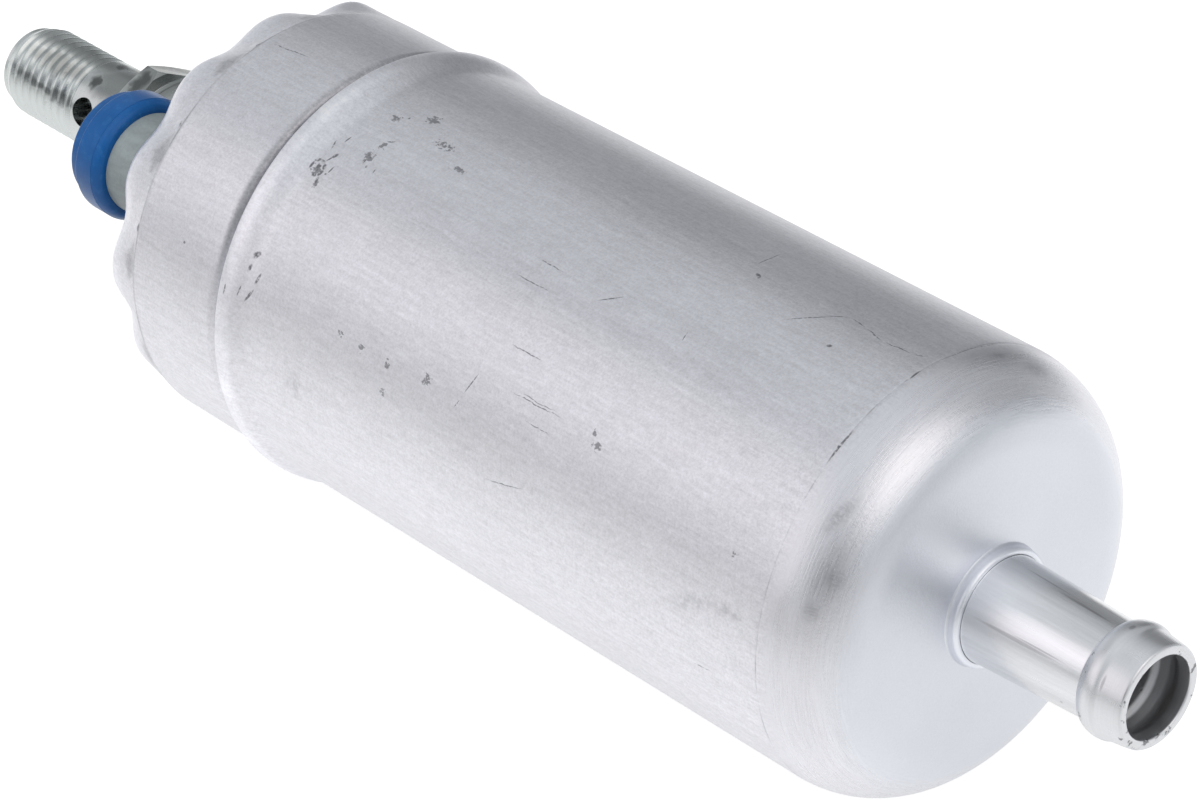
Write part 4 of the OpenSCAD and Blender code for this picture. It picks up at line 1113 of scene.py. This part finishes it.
def thread_mesh(sizes, tip_x):
    """The helical thread as a closed sleeve, tapered at the tip and run out at the end."""
    per_turn = 72
    start = tip_x + 0.4 * MM
    end = sizes.thread_end
    crest = sizes.thread_radius
    turns = ceil((end - start) / sizes.pitch) + 2
    first = start - sizes.pitch
    parts = 14
    flank = [(part / parts, crest - sizes.thread_depth
              * ((1 - cos(2 * pi * part / parts)) / 2) ** 1.3)
             for part in range(parts + 1)]
    mesh = bmesh.new()
    ring = [mesh.verts.new((first + part * sizes.pitch, 0, r)) for part, r in flank]
    edges = [mesh.edges.new(pair) for pair in zip(ring, ring[1:])]
    bmesh.ops.spin(mesh, geom=ring + edges, cent=(0, 0, 0), axis=AXIS,
                   angle=2 * pi * turns, steps=per_turn * turns, use_merge=False,
                   dvec=AXIS * sizes.pitch / per_turn)
    bmesh.ops.remove_doubles(mesh, verts=mesh.verts, dist=1e-6)
    for place, side in ((start, -1), (end, 1)):
        bmesh.ops.bisect_plane(mesh, geom=mesh.verts[:] + mesh.edges[:] + mesh.faces[:],
                               plane_co=(place, 0, 0), plane_no=AXIS * side,
                               clear_outer=True, dist=1e-7)
    taper = 1.0 * MM
    run_out = 1.4 * MM
    for vert in mesh.verts:
        r = hypot(vert.co.y, vert.co.z)
        limit = crest - taper + (vert.co.x - start) * taper / (sizes.lead_in - 0.4 * MM)
        fade = smooth_step((vert.co.x - end + run_out) / run_out)
        new_r = min(r + (crest - r) * fade, limit)
        vert.co.y *= new_r / r
        vert.co.z *= new_r / r
    rims = [edge for edge in mesh.edges if len(edge.link_faces) == 1]
    bmesh.ops.holes_fill(mesh, edges=rims, sides=0)
    bmesh.ops.recalc_face_normals(mesh, faces=mesh.faces)
    return mesh


def hexagon_mesh(sizes, start):
    """The hexagon: a turned blank with chamfered ends, cut by its six flats."""
    half = sizes.hex_flats / 2
    end = start + sizes.hex_length
    corner = half / cos(pi / 6)
    drop = (corner - half + 0.2 * MM) * tan(radians(35))
    mesh = solid_bar([(start, 0), (start, half - 0.2 * MM), (start + drop, corner),
                      (end - 0.4 * MM, corner), (end, corner - 0.6 * MM), (end, 0)], 144)
    for side in range(6):
        turn = sizes.hex_turn + side * pi / 3
        normal = Vector((0, cos(turn), sin(turn)))
        parts = bmesh.ops.bisect_plane(
            mesh, geom=mesh.verts[:] + mesh.edges[:] + mesh.faces[:],
            plane_co=normal * half, plane_no=normal, clear_outer=True, dist=1e-7)
        rim = [part for part in parts["geom_cut"] if isinstance(part, bmesh.types.BMEdge)]
        bmesh.ops.holes_fill(mesh, edges=rim, sides=0)
    bmesh.ops.recalc_face_normals(mesh, faces=mesh.faces)
    return mesh


def make_nipple(scene):
    """The outlet stud: shank with its cross hole, thread and hexagon."""
    sizes = scene.pump_outlet
    tip_x = NIPPLE_LOW.x
    washer_x = WASHER_LOW.x
    shank = MOUNTS["outlet_shank"]
    hex_x = shank["pos_m"][0] + shank["dims"]["length_mm"] * MM / 2
    crest = sizes.thread_radius
    core = crest - sizes.thread_depth - 0.15 * MM
    neck = 5.0 * MM
    bore_x = sizes.cross_at - sizes.bore_radius
    shoulder = sizes.shoulder_radius
    hex_mid = hex_x + sizes.hex_length / 2
    hex_end = hex_x + sizes.hex_length
    outline = (
        [(tip_x, 0), (tip_x, crest - 1.5 * MM)]
        + run((tip_x + 0.4 * MM, crest - 1.5 * MM), (0.4 * MM, 0.5 * MM), 180, 90, 5)[1:]
        + [(tip_x + 0.5 * MM, core), (sizes.thread_end - 0.3 * MM, core),
           (sizes.thread_end - 0.3 * MM, crest), (hex_x - 0.25 * MM, crest),
           (hex_mid, crest), (hex_mid, shoulder), (hex_end, shoulder)]
        + run((hex_end + 1.3 * MM, shoulder), (0.6 * MM, 0.35 * MM), 180, 360, 10)
        + [(washer_x - 0.4 * MM, shoulder), (washer_x - 0.1 * MM, shoulder - 0.2 * MM),
           (washer_x, neck), (NIPPLE_HIGH.x, neck),
           (NIPPLE_HIGH.x, sizes.bore_radius), (bore_x, sizes.bore_radius), (bore_x, 0)])
    shank = solid_bar(outline, 120)
    hole = bmesh.new()
    turn = sizes.cross_turn
    aim = Vector((0, cos(turn), sin(turn)))
    place = Matrix.Translation((sizes.cross_at, 0, 0)) @ aim.to_track_quat(
        "Z", "Y").to_matrix().to_4x4()
    bmesh.ops.create_cone(hole, cap_ends=True, segments=64, radius1=sizes.cross_radius,
                          radius2=sizes.cross_radius, depth=3 * crest, matrix=place)
    shank = cut(shank, [hole])
    mesh = join(shank, [thread_mesh(sizes, tip_x), hexagon_mesh(sizes, hex_x)])
    piece("outlet_stud", mesh, zinc_material(scene.pump_finish),
          ["outlet_nipple"])


def make_washer(scene):
    """The copper washer under the hexagon."""
    outer = WASHER_HIGH.z
    inner = 5.1 * MM
    edge = 0.35 * MM
    mesh = revolve(rounded([
        (WASHER_LOW.x, inner, 0), (WASHER_LOW.x, outer, edge),
        (WASHER_HIGH.x, outer, edge), (WASHER_HIGH.x, inner, 0)]), 120)
    material = metal_material("dull_copper", scene.pump_finish.copper, 0.42, 1400, 0.3)
    piece("seal_washer", mesh, material, ["copper_washer"])


def make_cover(scene):
    """The end cover with its boss and a seat for the turret."""
    sizes = scene.pump_outlet
    rim = COVER_HIGH.z
    boss_x = COVER_LOW.x
    face = COVER_FACE
    taper_x = scene.pump_can.fold_x - 0.59 * MM
    taper_radius = 22.25 * MM
    bore = 5.0 * MM
    bore_floor = face - 5 * MM
    outline = rounded([
        (COVER_HIGH.x, 0, 0), (COVER_HIGH.x, rim, 0.5 * MM), (taper_x, rim, 0.2 * MM),
        (face, taper_radius, 0.3 * MM), (face, sizes.boss_foot + 6 * MM, 0),
        (face, sizes.boss_foot, 1.1 * MM),
        (face - sizes.boss_step, sizes.boss_foot, 0.4 * MM),
        (face - sizes.boss_step - 1 * MM, sizes.boss_radius, 0.3 * MM),
        (boss_x, sizes.boss_radius, 0.4 * MM), (boss_x, bore, 0),
        (bore_floor, bore, 0), (bore_floor, 0, 0)])
    mesh = solid_bar(outline, 192)
    seat = drill(scene.pump_terminal.turret_radius, face - 2 * MM, TURRET_HIGH.x,
                 TURRET_PLACE.yz)
    mesh = cut(mesh, [seat])
    material = metal_material("machined_cover", (0.60, 0.61, 0.62), 0.40, 1200, 0.2)
    piece("end_cover_casting", mesh, material, ["end_cover"])


def make_turret(scene):
    """The terminal turret with its socket."""
    sizes = scene.pump_terminal
    mouth = TURRET_LOW.x
    back = TURRET_HIGH.x
    outline = rounded([
        (back, 0, 0), (back, sizes.turret_radius, 0.2 * MM),
        (mouth, sizes.turret_radius, 0.3 * MM), (mouth, sizes.socket_radius, 0.25 * MM),
        (sizes.socket_floor, sizes.socket_radius, 0.5 * MM), (sizes.socket_floor, 0, 0)])
    mesh = solid_bar(outline, 128, TURRET_PLACE.yz)
    piece("terminal_turret_body", mesh, turret_material(scene.pump_finish),
          ["terminal_turret"])


def make_collar(scene):
    """The blue collar on the turret's mouth."""
    sizes = scene.pump_terminal
    front = COLLAR_LOW.x
    back = COLLAR_HIGH.x
    step = front + sizes.collar_step
    rim = sizes.collar_radius
    mouth = TURRET_LOW.x
    outline = (
        rounded([(front, sizes.socket_radius + 0.2 * MM, 0.15 * MM),
                 (front, sizes.collar_front, 0.45 * MM),
                 (step, sizes.collar_front, 0.15 * MM),
                 (step + 0.25 * MM, rim, 0.3 * MM),
                 (back - 1.2 * MM, rim, 0)])
        + run((back - 1.6 * MM, rim - 1.2 * MM), (1.6 * MM, 1.2 * MM), 75, 0, 10)
        + [(back, sizes.turret_radius), (mouth, sizes.turret_radius),
           (mouth, sizes.socket_radius + 0.2 * MM)])
    mesh = revolve(outline, 144, TURRET_PLACE.yz)
    piece("terminal_collar_ring", mesh, collar_material(scene.pump_finish),
          ["terminal_collar"])


def make_pins():
    """The two terminal pins with rounded tips."""
    material = metal_material("bright_pin", (0.72, 0.66, 0.50), 0.18, 1900, 0.08)
    for node in ("terminal_pin_1", "terminal_pin_2"):
        low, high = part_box(node)
        place = ((low + high) / 2).yz
        radius = (high.y - low.y) / 2
        mesh = solid_bar(
            run((low.x + 0.5 * MM, 0), (0.5 * MM, radius), 180, 90, 6)
            + [(high.x, radius), (high.x, 0)], 48, place)
        piece(node + "_turned", mesh, material, [node])


def make_springs(material):
    """Coil springs as pieces with their own meshes; how far each would shorten as a valve or brush moves, with a
    hair of play, is worked out but not used.
    """
    play = 0.15 * MM
    for joint in frame["joints"]:
        axis = Vector(joint["axis"])
        for spring in joint.get("deforming_nodes", []):
            node = spring["node"]
            low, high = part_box(node)
            mesh = bmesh.new()
            mesh.from_mesh(frame["nodes"][node].data)
            bmesh.ops.remove_doubles(mesh, verts=mesh.verts, dist=1e-6)
            coil = piece(node + "_coil", mesh, material, [node])
            (1 - (joint["range_m"][1] + play)
                      / abs((high - low).dot(axis)))
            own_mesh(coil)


def dress_inner_pieces():
    """Gives each CAD node that stays its procedural material."""
    materials = inner_materials()
    slots = {part["node"]: part["material_slot"] for part in frame["record"]["subparts"]}
    for name, node in frame["nodes"].items():
        if slots[name] in materials:
            node.data.materials.clear()
            node.data.materials.append(materials[slots[name]])
    make_springs(materials["spring_steel"])


def make_floor(studio):
    """The pale floor, which keeps the pump's shadow."""
    mesh = bmesh.new()
    bmesh.ops.create_grid(mesh, x_segments=1, y_segments=1, size=studio.floor_size / 2)
    bmesh.ops.translate(mesh, verts=mesh.verts,
                        vec=(0, 0, CAD_BOX[0][2] - studio.floor_gap))
    floor = loose("floor", mesh)
    material, nodes = new_material("pale_floor")
    path = [nodes.add("ShaderNodeLightPath", output=name)
            for name in ("Is Camera Ray", "Is Glossy Ray", "Is Transmission Ray")]
    shown = nodes.most(*path)
    matt = nodes.add("ShaderNodeBsdfDiffuse", None, {"Color": (0.8, 0.8, 0.8)})
    far = nodes.add("ShaderNodeVectorMath", {"operation": "LENGTH"},
                    {0: nodes.position()}, output="Value")
    side = nodes.dot(nodes.position(), (-0.45, 0.89, 0))
    level = (nodes.step(far, 0.04, 0.22, 0.60, 0.36)
             + nodes.step(side, -0.2, 0.2, -0.17, 0.38))
    level = level + (0.80 - level) * path[0]
    bright = nodes.add("ShaderNodeEmission", None, {"Color": (1, 1, 1), "Strength": level})
    soft = nodes.add("ShaderNodeBsdfDiffuse", None, {"Color": (0.4, 0.4, 0.4)})
    lit = nodes.add("ShaderNodeAddShader", None, {0: bright, 1: soft})
    shader = nodes.add("ShaderNodeMixShader", None, {0: shown, 1: matt, 2: lit})
    nodes.add("ShaderNodeOutputMaterial", None, {"Surface": shader})
    floor.data.materials.append(material)


def heading(azimuth, elevation):
    """A direction from its azimuth from +X towards +Y and its elevation, in degrees."""
    azimuth, elevation = radians(azimuth), radians(elevation)
    return (cos(elevation) * cos(azimuth), cos(elevation) * sin(azimuth), sin(elevation))


# Parts of the tent: change of level, azimuth, elevation, then where it is full and gone

TENT_PARTS = [
    (-0.36, 122, 20, 3, 34), (-0.12, 150, 42, 3, 26), (-0.19, 84, 36, 3, 44),
    (-0.42, -47, 6, 4, 26), (-0.12, 62, 20, 3, 26), (-0.20, -159, 50, 3, 21),
    (0.12, -132, 66, 3, 44),
]


def make_world(studio):
    """A soft tent of light, white to the camera, with dim and bright parts."""
    world = bpy.data.worlds.new("soft_tent")
    world.use_nodes = True
    bpy.context.scene.world = world
    nodes = Nodes(world.node_tree)
    direction = nodes.add("ShaderNodeTexCoord", output="Generated")

    def lobe(azimuth, elevation, inner, outer):
        along = nodes.dot(direction, heading(azimuth, elevation))
        return nodes.step(along, cos(radians(outer)), cos(radians(inner)))

    bright_right = lobe(-2, 40, 5, 33)
    bright_left = lobe(-137, 28, 5, 24)
    bright_near = lobe(-108, 22, 3, 32)
    level = 0.70
    for change, *place in TENT_PARTS:
        level = level + change * lobe(*place)
    level = level + 0.66 * bright_right + 0.20 * bright_left + 0.30 * bright_near
    tint = nodes.mix(nodes.most(bright_left, bright_near), (0.945, 0.97, 1.0),
                     (1.0, 0.96, 0.985))
    tint = nodes.mix(bright_right, tint, (1.0, 0.965, 0.95))
    camera = nodes.add("ShaderNodeLightPath", output="Is Camera Ray")
    glossy = nodes.add("ShaderNodeLightPath", output="Is Glossy Ray")
    clear = nodes.add("ShaderNodeLightPath", output="Is Transmission Ray")
    seen = nodes.most(glossy, clear)
    strength = level * (studio.fill + (1 - studio.fill) * seen)
    strength = strength + (1 - strength) * camera
    light = nodes.add("ShaderNodeBackground", None,
                      {"Color": nodes.mix(camera, tint, (1, 1, 1)), "Strength": strength})
    nodes.add("ShaderNodeOutputWorld", None, {"Surface": light})


def make_lamp(name, direction, distance, size, power):
    """A large square lamp that points at the pump."""
    data = bpy.data.lights.new(name, "AREA")
    data.size = size
    data.energy = power
    lamp = bpy.data.objects.new(name, data)
    lamp.location = Vector(direction) * distance
    lamp.rotation_euler = (-Vector(direction)).to_track_quat("-Z", "Y").to_euler()
    bpy.context.scene.collection.objects.link(lamp)
    lamp.visible_glossy = False


def make_stage(scene):
    """The floor, the tent of light, two lamps and the fixed camera."""
    studio = scene.pump_studio
    make_floor(studio)
    make_world(studio)
    make_lamp("key_lamp", heading(-95, 62), 0.9, 0.8, 5.0)
    make_lamp("side_lamp", heading(-10, 35), 0.9, 0.7, 2.5)
    scene.view_settings.view_transform = "Standard"
    data = bpy.data.cameras.new("camera")
    data.lens = studio.lens
    data.sensor_width = 36
    camera = bpy.data.objects.new("camera", data)
    aim = Vector(studio.aim)
    turn = studio.azimuth - pi / 2
    away = Vector((cos(studio.elevation) * cos(turn), cos(studio.elevation) * sin(turn),
                   sin(studio.elevation)))
    camera.location = aim + away * studio.distance
    camera.rotation_euler = (-away).to_track_quat("-Z", "Y").to_euler()
    scene.collection.objects.link(camera)
    scene.camera = camera


class PumpOperator:
    """Shared by the operators: each runs its steps and finishes."""
    bl_options = {"REGISTER", "UNDO"}

    def execute(self, context):
        self.make(context.scene)
        return {"FINISHED"}


class PUMP_OT_stage(PumpOperator, bpy.types.Operator):
    """Make the floor, the soft light and the camera"""
    bl_idname = "pump.stage"
    bl_label = "Stage"

    def make(self, scene):
        make_stage(scene)


class PUMP_OT_can(PumpOperator, bpy.types.Operator):
    """Make the drawn can with its dome, bulge, groove and crimped lip"""
    bl_idname = "pump.can"
    bl_label = "Can"

    def make(self, scene):
        make_can(scene)


class PUMP_OT_spigot(PumpOperator, bpy.types.Operator):
    """Make the inlet spigot with its hose bead"""
    bl_idname = "pump.spigot"
    bl_label = "Inlet spigot"

    def make(self, scene):
        make_spigot(scene)


class PUMP_OT_outlet(PumpOperator, bpy.types.Operator):
    """Make the outlet stud, its washer and the end cover with its boss"""
    bl_idname = "pump.outlet"
    bl_label = "Outlet"

    def make(self, scene):
        make_nipple(scene)
        make_washer(scene)
        make_cover(scene)


class PUMP_OT_terminals(PumpOperator, bpy.types.Operator):
    """Make the terminal turret, its blue collar and its pins"""
    bl_idname = "pump.terminals"
    bl_label = "Terminals"

    def make(self, scene):
        make_turret(scene)
        make_collar(scene)
        make_pins()


class PUMP_OT_inner(PumpOperator, bpy.types.Operator):
    """Finish the pieces inside the can and make their springs"""
    bl_idname = "pump.inner"
    bl_label = "Inner pieces"

    def make(self, scene):
        dress_inner_pieces()


class PUMP_PT_panel(bpy.types.Panel):
    """Lists the steps that make the pump"""
    bl_idname = "PUMP_PT_panel"
    bl_label = "Fuel pump"
    bl_space_type = "VIEW_3D"
    bl_region_type = "UI"
    bl_category = "Fuel pump"

    def draw(self, context):
        for operator in OPERATORS:
            self.layout.operator(operator.bl_idname)


SETTINGS = {"pump_can": CanSizes, "pump_spigot": SpigotSizes, "pump_outlet": OutletSizes,
            "pump_terminal": TerminalSizes, "pump_finish": Finish, "pump_studio": Studio}
OPERATORS = [PUMP_OT_stage, PUMP_OT_can, PUMP_OT_spigot, PUMP_OT_outlet,
             PUMP_OT_terminals, PUMP_OT_inner]


def register():
    for group in (*SETTINGS.values(), *OPERATORS, PUMP_PT_panel):
        bpy.utils.register_class(group)
    for name, group in SETTINGS.items():
        setattr(bpy.types.Scene, name, bpy.props.PointerProperty(type=group))


def unregister():
    for name in SETTINGS:
        delattr(bpy.types.Scene, name)
    for group in (PUMP_PT_panel, *reversed(OPERATORS), *reversed(SETTINGS.values())):
        bpy.utils.unregister_class(group)


def main():
    register()
    bpy.ops.pump.stage()
    bpy.ops.pump.can()
    bpy.ops.pump.spigot()
    bpy.ops.pump.outlet()
    bpy.ops.pump.terminals()
    bpy.ops.pump.inner()


if __name__ == "__main__":
    main()
